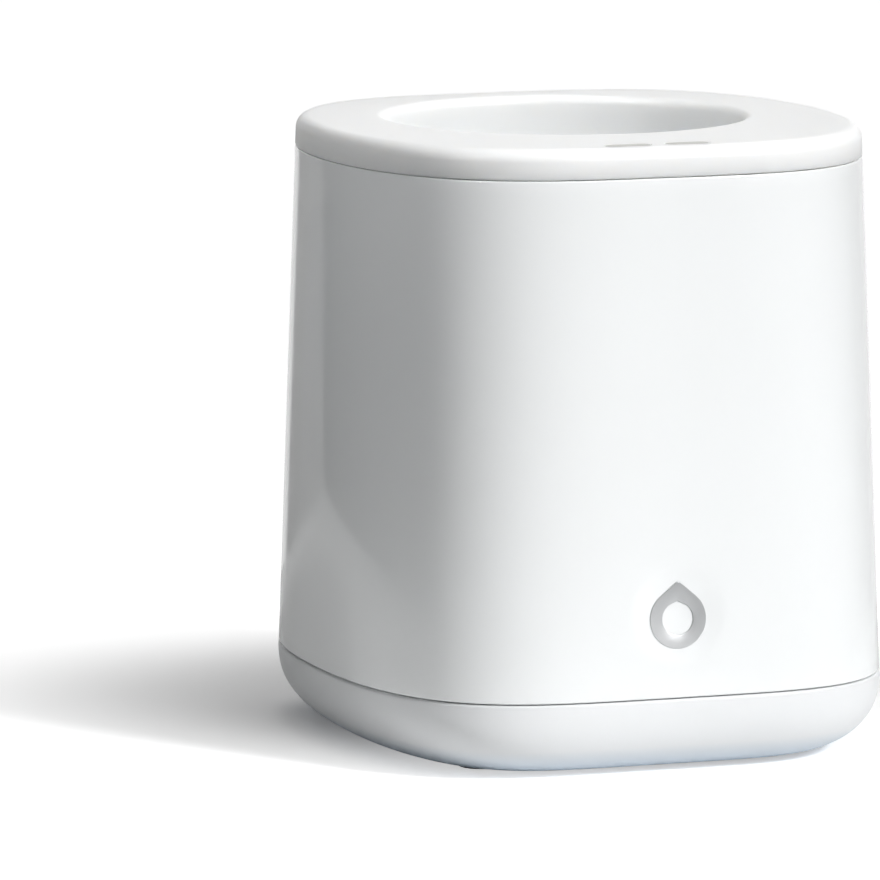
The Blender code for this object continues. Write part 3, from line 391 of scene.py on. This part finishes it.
def gloss_shell_material():
    """Glossy white under a thin clear coat."""
    surface = Surface("gloss_white_shell")
    surface.set(Specular_IOR_Level=0.5, IOR=1.5, Coat_Weight=0.2, Coat_Roughness=0.03)
    surface.drift(SHELL_WHITE, 0.992, 1.006, 9.0, 2.0)
    surface.sheen(0.10, 0.14, 45.0, 3.0)
    surface.grain(70.0, 0.000004, 2.0, 0.5)
    return surface.material


def deck_material():
    """Slightly translucent satin white."""
    surface = Surface("satin_white_deck")
    surface.set(Subsurface_Weight=0.8, Subsurface_Scale=0.006, Subsurface_Radius=(1.0, 0.96, 0.90))
    surface.drift(DECK_WHITE, 0.994, 1.006)
    surface.sheen(0.38, 0.46)
    surface.grain(1500.0, 0.000012)
    return surface.material


def base_material():
    """Satin white with painted shade that turns darker and cooler towards the underside."""
    surface = Surface("satin_white_base")
    # Painted shade: the colour turns darker and cooler near the base's bottom.
    rise = surface.spread(surface.axes()["Z"], 0.0, 1.0, BASE_PAINTED_SHADE_Z[0] * MM, BASE_PAINTED_SHADE_Z[1] * MM)
    share = surface.scaled_sum(surface.noise(18.0, 3.0), BASE_PAINTED_SHADE_DRIFT, rise)
    surface.colour(surface.ramp(share, [(0.04, BASE_PAINTED_SHADE), (0.9, BASE_WHITE)]))
    surface.sheen(0.30, 0.38)
    surface.grain(1400.0, 0.000010)
    return surface.material


def emblem_material():
    """Silver foil with painted shade, darker towards its upper right, with a fine horizontal grain."""
    surface = Surface("silver_emblem").set(Metallic=0.55)
    place = surface.axes()
    # Painted shade: the foil's colour darkens along this slope towards the upper right.
    slope = surface.scaled_sum(place["X"], EMBLEM_SHADE_SLOPE, place["Z"])
    half = BADGE_HEIGHT * 0.5 * MM
    share = surface.spread(slope, 0.0, 1.0, DIMPLE_Z * MM - half, DIMPLE_Z * MM + half)
    surface.colour(surface.ramp(share, EMBLEM_PAINTED_SHADE_STOPS))
    grain = surface.noise(900.0, 2.0, 0.5, surface.mapped(Scale=(1.0, 1.0, 12.0)))
    surface.rough(surface.spread(grain, 0.30, 0.42))
    surface.bump(grain, 0.000006)
    return surface.material


def board_material():
    """Solder mask with fine copper tracks showing through."""
    surface = Surface("board_green").set(Specular_IOR_Level=0.5)
    tracks = surface.node("ShaderNodeTexBrick", Scale=180.0)
    surface.link(surface.coordinates(), tracks.inputs["Vector"])
    for name, green in BOARD_GREENS.items():
        tracks.inputs[name].default_value = (*green, 1.0)
    surface.colour(tracks.outputs["Color"])
    surface.sheen(0.30, 0.45, 200.0, 2.0)
    surface.bump(tracks.outputs["Fac"], 0.00003)
    return surface.material


def make_materials():
    materials = {
        "gloss_white_shell": gloss_shell_material(),
        "satin_white_deck": deck_material(),
        "satin_white_base": base_material(),
        "silver_emblem": emblem_material(),
        "board_green": board_material(),
    }
    for name, look in MOULDED.items():
        materials[name] = moulded(name, *look)
    for name, look in METALS.items():
        materials[name] = metal(name, *look)
    return materials


# ---------------------------------------------------------------- meshes


def closed_object(name, points, faces):
    """Closed mesh from points in millimetres."""
    mesh = bpy.data.meshes.new(name)
    mesh.from_pydata([Vector(point) * MM for point in points], [], faces)
    work = bmesh.new()
    work.from_mesh(mesh)
    bmesh.ops.recalc_face_normals(work, faces=work.faces)
    work.to_mesh(mesh)
    work.free()
    item = bpy.data.objects.new(name, mesh)
    bpy.context.scene.collection.objects.link(item)
    return item


def smooth(mesh):
    """Smooth shading that keeps the sharp edges."""
    mesh.shade_smooth()
    mesh.set_sharp_from_angle(angle=math.radians(SHARP_ANGLE))


def add_piece(name, points, faces, material, body, nodes):
    """Smooth-shaded closed mesh that stands for CAD nodes."""
    item = closed_object(name, points, faces)
    smooth(item.data)
    item.data.materials.append(material)
    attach(item, body)
    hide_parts(*nodes)
    return item


def cutter(loops):
    """Closed tool over the loops, which isn't part of the object."""
    return closed_object("cutter", *skin(loops))


def skin(loops, ring=False):
    """Points and faces over loops of equal length, capped at the ends or closed into a ring."""
    count = len(loops[0])
    points = [point for loop in loops for point in loop]
    faces = []
    bands = len(loops) if ring else len(loops) - 1
    for band in range(bands):
        low = band * count
        high = ((band + 1) % len(loops)) * count
        for step in range(count):
            after = (step + 1) % count
            faces.append((low + step, low + after, high + after, high + step))
    if not ring:
        faces.append(tuple(reversed(range(count))))
        faces.append(tuple(range(len(points) - count, len(points))))
    return points, faces


def full_turn(segments):
    return [2.0 * math.pi * step / segments for step in range(segments)]


def circle(radius, z, centre, turns):
    """Level circle, with one point at each of the turns."""
    return [(centre[0] + radius * math.cos(turn), centre[1] + radius * math.sin(turn), z) for turn in turns]


def upright_circle(radius, y):
    """Circle around the gland's axis."""
    return [(radius * math.cos(turn), y, GLAND_Z + radius * math.sin(turn)) for turn in full_turn(64)]


def arc(centre, radius, start, end, steps):
    """(across, z) points on an arc, angles in degrees."""
    points = []
    for step in range(steps + 1):
        turn = math.radians(start + (end - start) * step / steps)
        points.append((centre[0] + radius * math.cos(turn), centre[1] + radius * math.sin(turn)))
    return points


def cut(item, tools):
    """Applies the tools to the piece and removes them, then marks its sharp edges again."""
    for tool in tools:
        modifier = item.modifiers.new("cut", "BOOLEAN")
        modifier.operation = "DIFFERENCE"
        modifier.solver = "EXACT"
        modifier.object = tool
    depsgraph = bpy.context.evaluated_depsgraph_get()
    mesh = bpy.data.meshes.new_from_object(item.evaluated_get(depsgraph))
    item.modifiers.clear()
    item.data = mesh
    smooth(mesh)
    for tool in tools:
        bpy.data.objects.remove(tool, do_unlink=True)


def pill(length, depth, z, centre, steps=14):
    """Level outline with straight sides and round ends."""
    radius = depth / 2.0
    reach = length / 2.0 - radius
    points = []
    for end, start in ((1, -90.0), (-1, 90.0)):
        for step in range(steps + 1):
            turn = math.radians(start + 180.0 * step / steps)
            x = centre[0] + end * reach + radius * math.cos(turn)
            points.append((x, centre[1] + radius * math.sin(turn), z))
    return points


# ---------------------------------------------------------------- casing outline


def blend_sizes(first, second, share):
    return [low + (high - low) * share for low, high in zip(first, second)]


def casing_size(z):
    return blend_sizes(BASE_SIZE, TOP_SIZE, (z - BASE_SEAM_Z) / (TOP_SEAM_Z - BASE_SEAM_Z))


def outline_point(size, turn):
    half_width, half_depth, exponent_x, exponent_y = size
    across = math.copysign(abs(math.cos(turn)) ** (2.0 / exponent_x), math.cos(turn))
    along = math.copysign(abs(math.sin(turn)) ** (2.0 / exponent_y), math.sin(turn))
    return half_width * across, half_depth * along


def even_turns(spacing, fine_spacing=None, fine_reach=0.0):
    """Angles that step evenly along the outline, closer together around the front's middle."""
    size = casing_size(OUTLINE_MIDDLE_Z)
    quarter_steps = 6000
    turns = []
    for quarter in range(4):
        start = quarter * math.pi / 2
        places = []
        travelled = 0.0
        before = None
        for step in range(quarter_steps + 1):
            share = step / quarter_steps
            turn = start + (math.pi / 2) * (0.5 - 0.5 * math.cos(math.pi * share))
            here = Vector(outline_point(size, turn))
            if before is not None:
                travelled += (here - before).length
            places.append((travelled, turn, here))
            before = here
        wanted = 0.0
        for distance, turn, here in places[:-1]:
            if distance >= wanted:
                turns.append(turn)
                near_front = fine_spacing and here.y < 0 and abs(here.x) < fine_reach
                wanted = distance + (fine_spacing if near_front else spacing)
    return turns


TURNS = even_turns(OUTLINE_STEP)
SHELL_TURNS = even_turns(OUTLINE_STEP, FINE_STEP, FINE_HALF_WIDTH)


def casing_loop(z, inset=0.0, turns=TURNS):
    half_width, half_depth, exponent_x, exponent_y = casing_size(z)
    size = (half_width - inset, half_depth - inset, exponent_x, exponent_y)
    return [(*outline_point(size, turn), z) for turn in turns]


def casing_arc(centre, radius, start, end, steps, turns=TURNS):
    """Outlines over a rounded edge, whose section is an arc of (inset, z) points."""
    return [casing_loop(z, inset, turns) for inset, z in arc(centre, radius, start, end, steps)]


def pan_loop(angle, wall=0.0, floor=0.0):
    """Outline on the curve under the pan: 0 degrees at its top, 90 on its flat bottom."""
    half_width, half_depth, exponent_x, exponent_y = casing_size(PAN_CURVE_TOP_Z)
    turn = math.radians(angle)
    sink = math.sin(turn)
    drop = (PAN_CURVE_TOP_Z - PAN_BOTTOM_Z - floor) * sink ** (2.0 / PAN_DROP_EXPONENT)
    tuck = PAN_TUCK * (1.0 - max(math.cos(turn), 0.0) ** (2.0 / PAN_TUCK_EXPONENT))
    exponent_x += (PAN_BOTTOM_EXPONENTS[0] - exponent_x) * sink
    exponent_y += (PAN_BOTTOM_EXPONENTS[1] - exponent_y) * sink
    size = (half_width - wall - tuck, half_depth - wall - tuck * PAN_TUCK_DEPTH_RATIO, exponent_x, exponent_y)
    z = PAN_CURVE_TOP_Z - drop
    return [(*outline_point(size, turn), z) for turn in TURNS]


# ---------------------------------------------------------------- dimple and emblem


def front_lean():
    return (BASE_SIZE[1] - TOP_SIZE[1]) / (TOP_SEAM_Z - BASE_SEAM_Z)


def dimple_depth(x, z):
    """How deep the front is dished at a point, with a soft rim."""
    lean = math.atan(front_lean())
    reach = math.hypot(x, (z - DIMPLE_Z) / math.cos(lean))
    dish = DIMPLE_DEPTH * (1.0 - (reach / DIMPLE_RADIUS) ** 2)
    return 0.5 * (dish + math.sqrt(dish ** 2 + DIMPLE_SOFTNESS ** 2))


def dish(points):
    """Front points pushed back into the dimple."""
    reach = DIMPLE_RADIUS + DIMPLE_MARGIN
    dished = []
    for x, y, z in points:
        if y < 0 and abs(x) < reach and abs(z - DIMPLE_Z) < reach:
            y += dimple_depth(x, z)
        dished.append((x, y, z))
    return dished


def front_y(z):
    return -casing_size(z)[1]


def drop_outline(radius, ball_z, tip_z, tip_round, arc_steps=60, tip_steps=10):
    """Circle below, closing along its tangents to a slightly rounded tip above."""
    reach = tip_z - ball_z
    open_half = math.acos(radius / reach)
    points = []
    for step in range(arc_steps + 1):
        turn = math.pi / 2 - open_half - (2 * math.pi - 2 * open_half) * step / arc_steps
        points.append((radius * math.cos(turn), ball_z + radius * math.sin(turn)))
    tip_centre = tip_z - tip_round / math.cos(open_half)
    for step in range(tip_steps + 1):
        turn = math.pi / 2 + open_half - 2 * open_half * step / tip_steps
        points.append((tip_round * math.cos(turn), tip_centre + tip_round * math.sin(turn)))
    return points


# ---------------------------------------------------------------- pieces


def shell_loops():
    """The casing wall: up the outside over both rounded edges, then down the inside."""
    low = BASE_SEAM_Z + BASE_SEAM_HALF
    high = TOP_SEAM_Z - TOP_SEAM_HALF
    z = low + EDGE_ROUND
    last = high - EDGE_ROUND
    loops = casing_arc((EDGE_ROUND, z), EDGE_ROUND, 270, 180, 4, SHELL_TURNS)
    while z < last - WALL_LAST_STEP:
        near_dimple = abs(z - DIMPLE_Z) < DIMPLE_RADIUS + FINE_MARGIN
        z = min(z + (FINE_STEP if near_dimple else WALL_STEP), last)
        loops.append(dish(casing_loop(z, 0.0, SHELL_TURNS)))
    loops += casing_arc((EDGE_ROUND, last), EDGE_ROUND, 180, 90, 4, SHELL_TURNS)[1:]
    loops += [casing_loop(z, WALL, SHELL_TURNS) for z in (high, *WALL_INSIDE_Z, low)]
    return loops


def make_outer_shell(materials):
    points, faces = skin(shell_loops(), ring=True)
    add_piece("outer_shell_fine", points, faces, materials["gloss_white_shell"], "housing", ["outer_shell"])


def badge_loop(radius, ball_z, tip_z, rise, tip_round):
    """Drop outline that follows the dimple, raised from it."""
    outline = drop_outline(radius, ball_z, tip_z, tip_round)
    return [(x, front_y(z) + dimple_depth(x, z) - rise, z) for x, z in outline]


def make_badge(materials):
    """Hollow drop: its outer wall and rounded edge, then its inner ones."""
    half_width = BADGE_WIDTH / 2.0
    ball_z = DIMPLE_Z - BADGE_HEIGHT / 2.0 + half_width
    tip_z = DIMPLE_Z + BADGE_HEIGHT / 2.0
    inner_radius = half_width - BADGE_STROKE
    inner_tip = tip_z - BADGE_STROKE * BADGE_TIP_STROKE
    steps = [(0.0, -BADGE_SUNK), (0.0, BADGE_RISE - BADGE_ROUND)]
    steps += arc((BADGE_ROUND, BADGE_RISE - BADGE_ROUND), BADGE_ROUND, 180, 90, 4)[1:]
    loops = []
    for across, up in steps:
        tip = tip_z - across * BADGE_TIP_SLOPE
        loops.append(badge_loop(half_width - across, ball_z, tip, up, BADGE_TIP_ROUND))
    for across, up in reversed(steps):
        tip = inner_tip + across * BADGE_TIP_SLOPE
        loops.append(badge_loop(inner_radius + across, ball_z, tip, up, BADGE_INNER_TIP_ROUND))
    points, faces = skin(loops, ring=True)
    add_piece("badge_fine", points, faces, materials["silver_emblem"], "housing", ["badge_inlay"])


def deck_loops():
    """The deck: over its rounded edge, down the well to the flange, then back up to the skirt."""
    low = TOP_SEAM_Z + TOP_SEAM_HALF
    under = DECK_TOP_Z - WALL
    loops = casing_arc((EDGE_ROUND, low + EDGE_ROUND), EDGE_ROUND, 270, 180, 4)
    edge_centre = (DECK_EDGE_RADIUS, DECK_TOP_Z - DECK_EDGE_RADIUS)
    loops += casing_arc(edge_centre, DECK_EDGE_RADIUS, 180, 90, 14)
    loops.append(casing_loop(DECK_TOP_Z, DECK_EDGE_RADIUS + DECK_EDGE_MARGIN))
    loops += [circle(radius, z, (0.0, WELL_Y), TURNS) for radius, z in well_profile(under)]
    lip_inset = WALL + FIT_GAP
    for z, inset in (
        (under, WALL),
        (low + SKIRT_SLOPE[1], WALL),
        (low + SKIRT_SLOPE[0], lip_inset + LIP_WALL),
        (low - LIP_HEIGHT, lip_inset + LIP_WALL),
        (low - LIP_HEIGHT, lip_inset),
        (low, lip_inset),
    ):
        loops.append(casing_loop(z, inset))
    return loops


def well_profile(under):
    """(radius, z) points over the well's lip, around its flange and up to the deck's underside."""
    lip_radius = WELL_RADIUS + WELL_LIP_RADIUS
    outside = WELL_RADIUS + SLEEVE_WALL
    flange_top = SLEEVE_BOTTOM_Z + FLANGE_THICKNESS
    profile = [(lip_radius + WELL_LIP_MARGIN, DECK_TOP_Z)]
    profile += arc((lip_radius, DECK_TOP_Z - WELL_LIP_RADIUS), WELL_LIP_RADIUS, 90, 180, 12)
    profile += [(WELL_RADIUS, SLEEVE_BOTTOM_Z), (FLANGE_RADIUS, SLEEVE_BOTTOM_Z), (FLANGE_RADIUS, flange_top)]
    profile += [(outside, flange_top), (outside, under)]
    return profile


def make_top_deck(materials):
    points, faces = skin(deck_loops(), ring=True)
    deck = add_piece("top_deck_fine", points, faces, materials["satin_white_deck"], "housing", ["top_deck"])
    tools = []
    for x, length in KEYS.values():
        size = (length + 2 * FIT_GAP, KEY_DEPTH + 2 * FIT_GAP)
        tools.append(cutter([pill(*size, DECK_TOP_Z + z, (x, KEY_Y)) for z in KEY_CUT]))
    cut(deck, tools)


def make_keys(materials):
    for name, (x, length) in KEYS.items():
        node_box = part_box(name + "_key")
        low = node_box[0][2] / MM
        loops = [pill(length, KEY_DEPTH, low, (x, KEY_Y))]
        for across, z in arc((KEY_ROUND, DECK_TOP_Z - KEY_ROUND), KEY_ROUND, 180, 90, 5):
            loops.append(pill(length - 2 * across, KEY_DEPTH - 2 * across, z, (x, KEY_Y)))
        points, faces = skin(loops)
        add_piece(name + "_key_fine", points, faces, materials["taupe_key"], name + "_key", [name + "_key"])


def pan_loops():
    """The base: its curved underside, the rounded edge at the seam, the lip, then the inside."""
    lip_inset = WALL + FIT_GAP
    wall = lip_inset + LIP_WALL
    high = BASE_SEAM_Z - BASE_SEAM_HALF
    loops = [pan_loop(90.0 * (1.0 - step / 30.0)) for step in range(31)]
    loops += casing_arc((PAN_EDGE_ROUND, high - PAN_EDGE_ROUND), PAN_EDGE_ROUND, 180, 90, 6)
    loops.append(casing_loop(high, lip_inset))
    loops.append(casing_loop(high + LIP_HEIGHT, lip_inset))
    loops.append(casing_loop(high + LIP_HEIGHT, wall))
    loops += [pan_loop(90.0 * step / 8.0, wall, PAN_FLOOR_THICKNESS) for step in range(9)]
    return loops


def pan_tools():
    """Tools for the foot pockets, the vents, and the gland's seat and hole."""
    tools = []
    for side_x, side_y in sorted(FEET.values()):
        centre = (side_x * FOOT_X, side_y * FOOT_Y)
        ends = (CUT_BELOW_Z, PAN_BOTTOM_Z + FOOT_POCKET_DEPTH)
        tools.append(cutter([circle(FOOT_RADIUS + FIT_GAP, z, centre, full_turn(64)) for z in ends]))
    for index in range(VENT_COUNT):
        centre = (0.0, VENT_FIRST_Y + VENT_PITCH * index)
        ends = (CUT_BELOW_Z, VENT_CUT_Z)
        tools.append(cutter([pill(VENT_LENGTH, VENT_WIDTH, z, centre, 8) for z in ends]))
    for radius, ends in (
        (GLAND_SEAT_RADIUS, (GLAND_SEAT_Y, GLAND_SEAT_CUT_Y)),
        (GLAND_HOLE_RADIUS, (GLAND_HOLE_CUT_Y, GLAND_SEAT_Y + GLAND_HOLE_OVERLAP)),
    ):
        tools.append(cutter([upright_circle(radius, y) for y in ends]))
    return tools


def make_base_pan(materials):
    points, faces = skin(pan_loops())
    pan = add_piece("base_pan_fine", points, faces, materials["satin_white_base"], "housing", ["base_pan"])
    cut(pan, pan_tools())


def make_feet(materials):
    profile = [(FOOT_FLAT_RADIUS, 0.0)]
    profile += arc((FOOT_RADIUS - FOOT_ROUND, FOOT_ROUND), FOOT_ROUND, 290, 360, 4)
    profile.append((FOOT_RADIUS, FOOT_HEIGHT))
    for corner, (side_x, side_y) in FEET.items():
        name = "foot_" + corner
        centre = (side_x * FOOT_X, side_y * FOOT_Y)
        points, faces = skin([circle(radius, max(z, 0.0), centre, full_turn(64)) for radius, z in profile])
        add_piece(name + "_fine", points, faces, materials["grey_rubber"], "housing", [name])


def make_gland(materials):
    seat = GLAND_SEAT_Y + FIT_GAP
    profile = [(GLAND_BORE_RADIUS, GLAND_INNER_Y)]
    profile += [(radius, seat + out) for radius, out in GLAND_COLLAR]
    profile += [(GLAND_NECK_RADIUS, seat), (GLAND_NECK_RADIUS, GLAND_INNER_Y)]
    points, faces = skin([upright_circle(radius, y) for radius, y in profile], ring=True)
    add_piece("cord_gland_fine", points, faces, materials["grey_rubber"], "housing", ["cord_gland"])


def basket_profile():
    """(radius, z) points up the outside, over the rim and down the inside."""
    floor_top = BASKET_FLOOR_Z + BASKET_FLOOR_THICKNESS
    inner = BASKET_RADIUS - BASKET_WALL
    rim = BASKET_RIM_Z
    rim_radius = BASKET_RIM_RADIUS
    corner = BASKET_CORNER
    profile = [(BASKET_RADIUS - corner, BASKET_FLOOR_Z)]
    profile += arc((BASKET_RADIUS - corner, BASKET_FLOOR_Z + corner), corner, 275, 360, 8)
    profile += [(BASKET_RADIUS, rim - 4.0), (BASKET_RADIUS + 0.3, rim - 3.1), (rim_radius - 0.3, rim - 2.0)]
    profile += arc((rim_radius - BASKET_RIM_ROUND, rim - 0.9), BASKET_RIM_ROUND, 0, 90, 5)
    profile += [(rim_radius - 1.6, rim - 0.1), (inner + 0.4, rim - 1.2), (inner, rim - 3.0)]
    corner = BASKET_INNER_CORNER
    profile += arc((inner - corner, floor_top + corner), corner, 0, -85, 6)
    profile.append((inner - 3.2, floor_top))
    return profile


def basket_tools():
    """Tools for the drain holes in the floor and the two finger slots below the rim."""
    centre = (0.0, WELL_Y)
    tools = [cutter([circle(DRAIN_RADIUS, z, centre, full_turn(48)) for z in DRAIN_CUT_Z])]
    for step in range(SIDE_DRAIN_COUNT):
        turn = math.radians(360.0 / SIDE_DRAIN_COUNT * step + 30.0)
        place = (SIDE_DRAIN_CIRCLE * math.cos(turn), WELL_Y + SIDE_DRAIN_CIRCLE * math.sin(turn))
        tools.append(cutter([circle(SIDE_DRAIN_RADIUS, z, place, full_turn(40)) for z in DRAIN_CUT_Z]))
    slot = pill(SLOT_LENGTH, SLOT_HEIGHT, 0.0, (WELL_Y, BASKET_RIM_Z - SLOT_BELOW_RIM), 12)
    tools.append(cutter([[(x, across, up) for across, up, _ in slot] for x in SLOT_CUT_X]))
    return tools


def make_basket(materials):
    name = "bottle_basket"
    points, faces = skin([circle(radius, z, (0.0, WELL_Y), full_turn(160)) for radius, z in basket_profile()])
    basket = add_piece(name + "_fine", points, faces, materials["frosted_basket"], name, [name])
    cut(basket, basket_tools())


def dress_cad_nodes(materials):
    """Scene materials for the CAD nodes that stay."""
    slots = {entry["node"]: entry["material_slot"] for entry in frame["record"]["subparts"]}
    for name, item in frame["nodes"].items():
        material = materials[slots[name]]
        if not item.material_slots:
            item.data.materials.append(material)
        for holder in item.material_slots:
            holder.material = material


# ---------------------------------------------------------------- studio


def paper(name, corners, height, colour):
    """Flat matt surface under the object, which casts no shadow."""
    mesh = bpy.data.meshes.new(name)
    mesh.from_pydata([(x, y, height) for x, y in corners], [], [(0, 1, 2, 3)])
    item = bpy.data.objects.new(name, mesh)
    bpy.context.scene.collection.objects.link(item)
    surface = Surface(name).set(Specular_IOR_Level=0.2)
    surface.drift(colour, 0.997, 1.0, 4.0, 2.0)
    surface.sheen(0.75, 0.85, 20.0, 2.0)
    mesh.materials.append(surface.material)
    item.visible_shadow = False
    return item, surface


def make_floor():
    """White floor that only the camera sees; it glows away from the object, in an oval around it."""
    wide = FLOOR_HALF
    square = [(-wide, -wide), (wide, -wide), (wide, wide), (-wide, wide)]
    floor, surface = paper("floor", square, 0.0, FLOOR_WHITE)
    floor.visible_diffuse = False
    floor.visible_glossy = False
    turned = surface.mapped(Rotation=(0.0, 0.0, math.radians(-CAMERA_AZIMUTH)))
    shift = (0.0, -GLOW_STRETCH * GLOW_BACK, 0.0)
    oval = surface.mapped(turned, Scale=(1.0, GLOW_STRETCH, 1.0), Location=shift)
    length = surface.node("ShaderNodeVectorMath", operation="LENGTH")
    surface.link(oval, length.inputs[0])
    reach = length.outputs["Value"]
    glow = surface.spread(
        reach, GLOW_LOW, GLOW_HIGH, GLOW_START, GLOW_END, interpolation_type="SMOOTHSTEP"
    )
    surface.set(Emission_Color=WHITE)
    surface.link(glow, surface.shader.inputs["Emission Strength"])


def make_sheet():
    """Small pale sheet that the object sees in place of the floor; it's hidden from the camera."""
    turn = math.radians(SHEET_TURN)
    along = Vector((math.cos(turn), math.sin(turn)))
    forward = Vector((math.sin(turn), -math.cos(turn)))
    corner = Vector(SHEET_CORNER)
    outline = [
        corner,
        corner + forward * SHEET_SIDE,
        corner + (forward + along) * SHEET_SIDE,
        corner + along * SHEET_SIDE,
    ]
    sheet, _ = paper("sheet", [tuple(point) for point in outline], -SHEET_DROP, SHEET_WHITE)
    sheet.visible_camera = False


class Sky:
    """World nodes that give the studio's brightness by direction."""

    def __init__(self):
        world = bpy.data.worlds.new("studio")
        bpy.context.scene.world = world
        world.use_nodes = True
        self.tree = world.node_tree
        self.tree.nodes.clear()
        place = self.tree.nodes.new("ShaderNodeTexCoord").outputs["Generated"]
        split = self.tree.nodes.new("ShaderNodeSeparateXYZ")
        self.tree.links.new(place, split.inputs["Vector"])
        toward_front = self.math("MULTIPLY", split.outputs["Y"], -1.0)
        turn = self.math("ARCTAN2", split.outputs["X"], toward_front)
        rise = self.math("ARCSINE", split.outputs["Z"])
        self.azimuth = self.math("MULTIPLY", turn, 180.0 / math.pi)
        self.elevation = self.math("MULTIPLY", rise, 180.0 / math.pi)

    def math(self, operation, first, second=None):
        node = self.tree.nodes.new("ShaderNodeMath")
        node.operation = operation
        for socket, value in zip(node.inputs, (first, second)):
            if value is None:
                continue
            if isinstance(value, float):
                socket.default_value = value
            else:
                self.tree.links.new(value, socket)
        return node.outputs["Value"]

    def step(self, source, start, end):
        """0 on the start angle's side, 1 on the end angle's side, smooth between."""
        node = self.tree.nodes.new("ShaderNodeMapRange")
        node.interpolation_type = "SMOOTHSTEP"
        node.inputs["From Min"].default_value = start
        node.inputs["From Max"].default_value = end
        self.tree.links.new(source, node.inputs["Value"])
        return node.outputs["Result"]

    def zone(self, strength, *steps):
        """Patch of sky where all the steps are 1."""
        total = steps[0]
        for step in steps[1:]:
            total = self.math("MULTIPLY", total, step)
        return self.math("MULTIPLY", total, strength)


def studio_strength(sky):
    """Bright ceiling, dimmer to the left, a faint bank to the right and two walls low behind."""
    above = sky.step(sky.elevation, *CEILING_EDGE)
    over_key = sky.step(sky.azimuth, CEILING_SPLIT - CEILING_BLEND, CEILING_SPLIT + CEILING_BLEND)
    middle = (sky.step(sky.elevation, *RIGHT_BANK_LOW_EDGE), sky.step(sky.elevation, *RIGHT_BANK_HIGH_EDGE))
    outer, inner = WALL_HEIGHT_EDGE
    low = (sky.step(sky.elevation, -outer, -inner), sky.step(sky.elevation, outer, inner))
    left_side = sky.step(sky.azimuth, WALL_LEFT_SIDE + WALL_LEFT_BLEND, WALL_LEFT_SIDE - WALL_LEFT_BLEND)
    total = sky.zone(CEILING_LEFT, above)
    for zone in (
        sky.zone(CEILING_RIGHT - CEILING_LEFT, above, over_key),
        sky.zone(RIGHT_BANK, *middle, sky.step(sky.azimuth, *RIGHT_BANK_SIDE)),
        sky.zone(WALL_RIGHT, *low, sky.step(sky.azimuth, *WALL_RIGHT_SIDE)),
        sky.zone(WALL_LEFT, *low, left_side),
    ):
        total = sky.math("ADD", total, zone)
    return total


def make_world():
    """The studio's light for the object, and plain white for the camera."""
    sky = Sky()
    nodes = sky.tree.nodes
    link = sky.tree.links.new
    studio = nodes.new("ShaderNodeBackground")
    backdrop = nodes.new("ShaderNodeBackground")
    for background in (studio, backdrop):
        background.inputs["Color"].default_value = WHITE
    path = nodes.new("ShaderNodeLightPath")
    mix = nodes.new("ShaderNodeMixShader")
    output = nodes.new("ShaderNodeOutputWorld")
    link(studio_strength(sky), studio.inputs["Strength"])
    link(path.outputs["Is Camera Ray"], mix.inputs["Fac"])
    link(studio.outputs["Background"], mix.inputs[1])
    link(backdrop.outputs["Background"], mix.inputs[2])
    link(mix.outputs["Shader"], output.inputs["Surface"])


def toward(azimuth, elevation):
    """Direction from the object; azimuth 0 is in front, positive to the right."""
    turn = math.radians(azimuth)
    rise = math.radians(elevation)
    return Vector((math.sin(turn) * math.cos(rise), -math.cos(turn) * math.cos(rise), math.sin(rise)))


def soft_spot(name, strength, source, beam, size, centre):
    """Spot whose light fades evenly from the middle of its beam; strength 1 makes a white wall white."""
    data = bpy.data.lights.new(name, "SPOT")
    data.energy = strength * (2.0 * math.pi * LIGHT_DISTANCE) ** 2
    data.spot_size = 2.0 * math.atan(beam / LIGHT_DISTANCE)
    data.spot_blend = 1.0
    data.shadow_soft_size = size
    direction = toward(*source)
    item = bpy.data.objects.new(name, data)
    item.location = Vector(centre) + direction * LIGHT_DISTANCE
    item.rotation_euler = (-direction).to_track_quat("-Z", "Y").to_euler()
    bpy.context.scene.collection.objects.link(item)
    return item


def make_lights():
    """A key from the front right, two fills for the well and a faint one for the lower left."""
    for name, values in LIGHTS.items():
        light = soft_spot(name, *values)
        light.visible_glossy = name not in LIGHTS_WITHOUT_HIGHLIGHT


def make_camera():
    """Long lens, panned so that the object stands right of the middle."""
    turn = math.radians(CAMERA_AZIMUTH)
    right = Vector((math.cos(turn), math.sin(turn), 0.0))
    aim = Vector((0.0, 0.0, CAMERA_AIM_Z))
    place = aim + toward(CAMERA_AZIMUTH, CAMERA_ELEVATION) * CAMERA_DISTANCE
    target = aim - right * CAMERA_PAN + Vector((0.0, 0.0, CAMERA_TILT))
    data = bpy.data.cameras.new("camera")
    data.lens = CAMERA_LENS
    data.sensor_width = CAMERA_SENSOR
    data.clip_end = CAMERA_FAR
    item = bpy.data.objects.new("camera", data)
    item.location = place
    item.rotation_euler = (target - place).to_track_quat("-Z", "Y").to_euler()
    bpy.context.scene.collection.objects.link(item)
    bpy.context.scene.camera = item


def main():
    materials = make_materials()
    dress_cad_nodes(materials)
    make_outer_shell(materials)
    make_badge(materials)
    make_top_deck(materials)
    make_keys(materials)
    make_base_pan(materials)
    make_feet(materials)
    make_gland(materials)
    make_basket(materials)
    make_floor()
    make_sheet()
    make_world()
    make_lights()
    make_camera()
    bpy.context.scene.view_settings.view_transform = "Standard"


main()
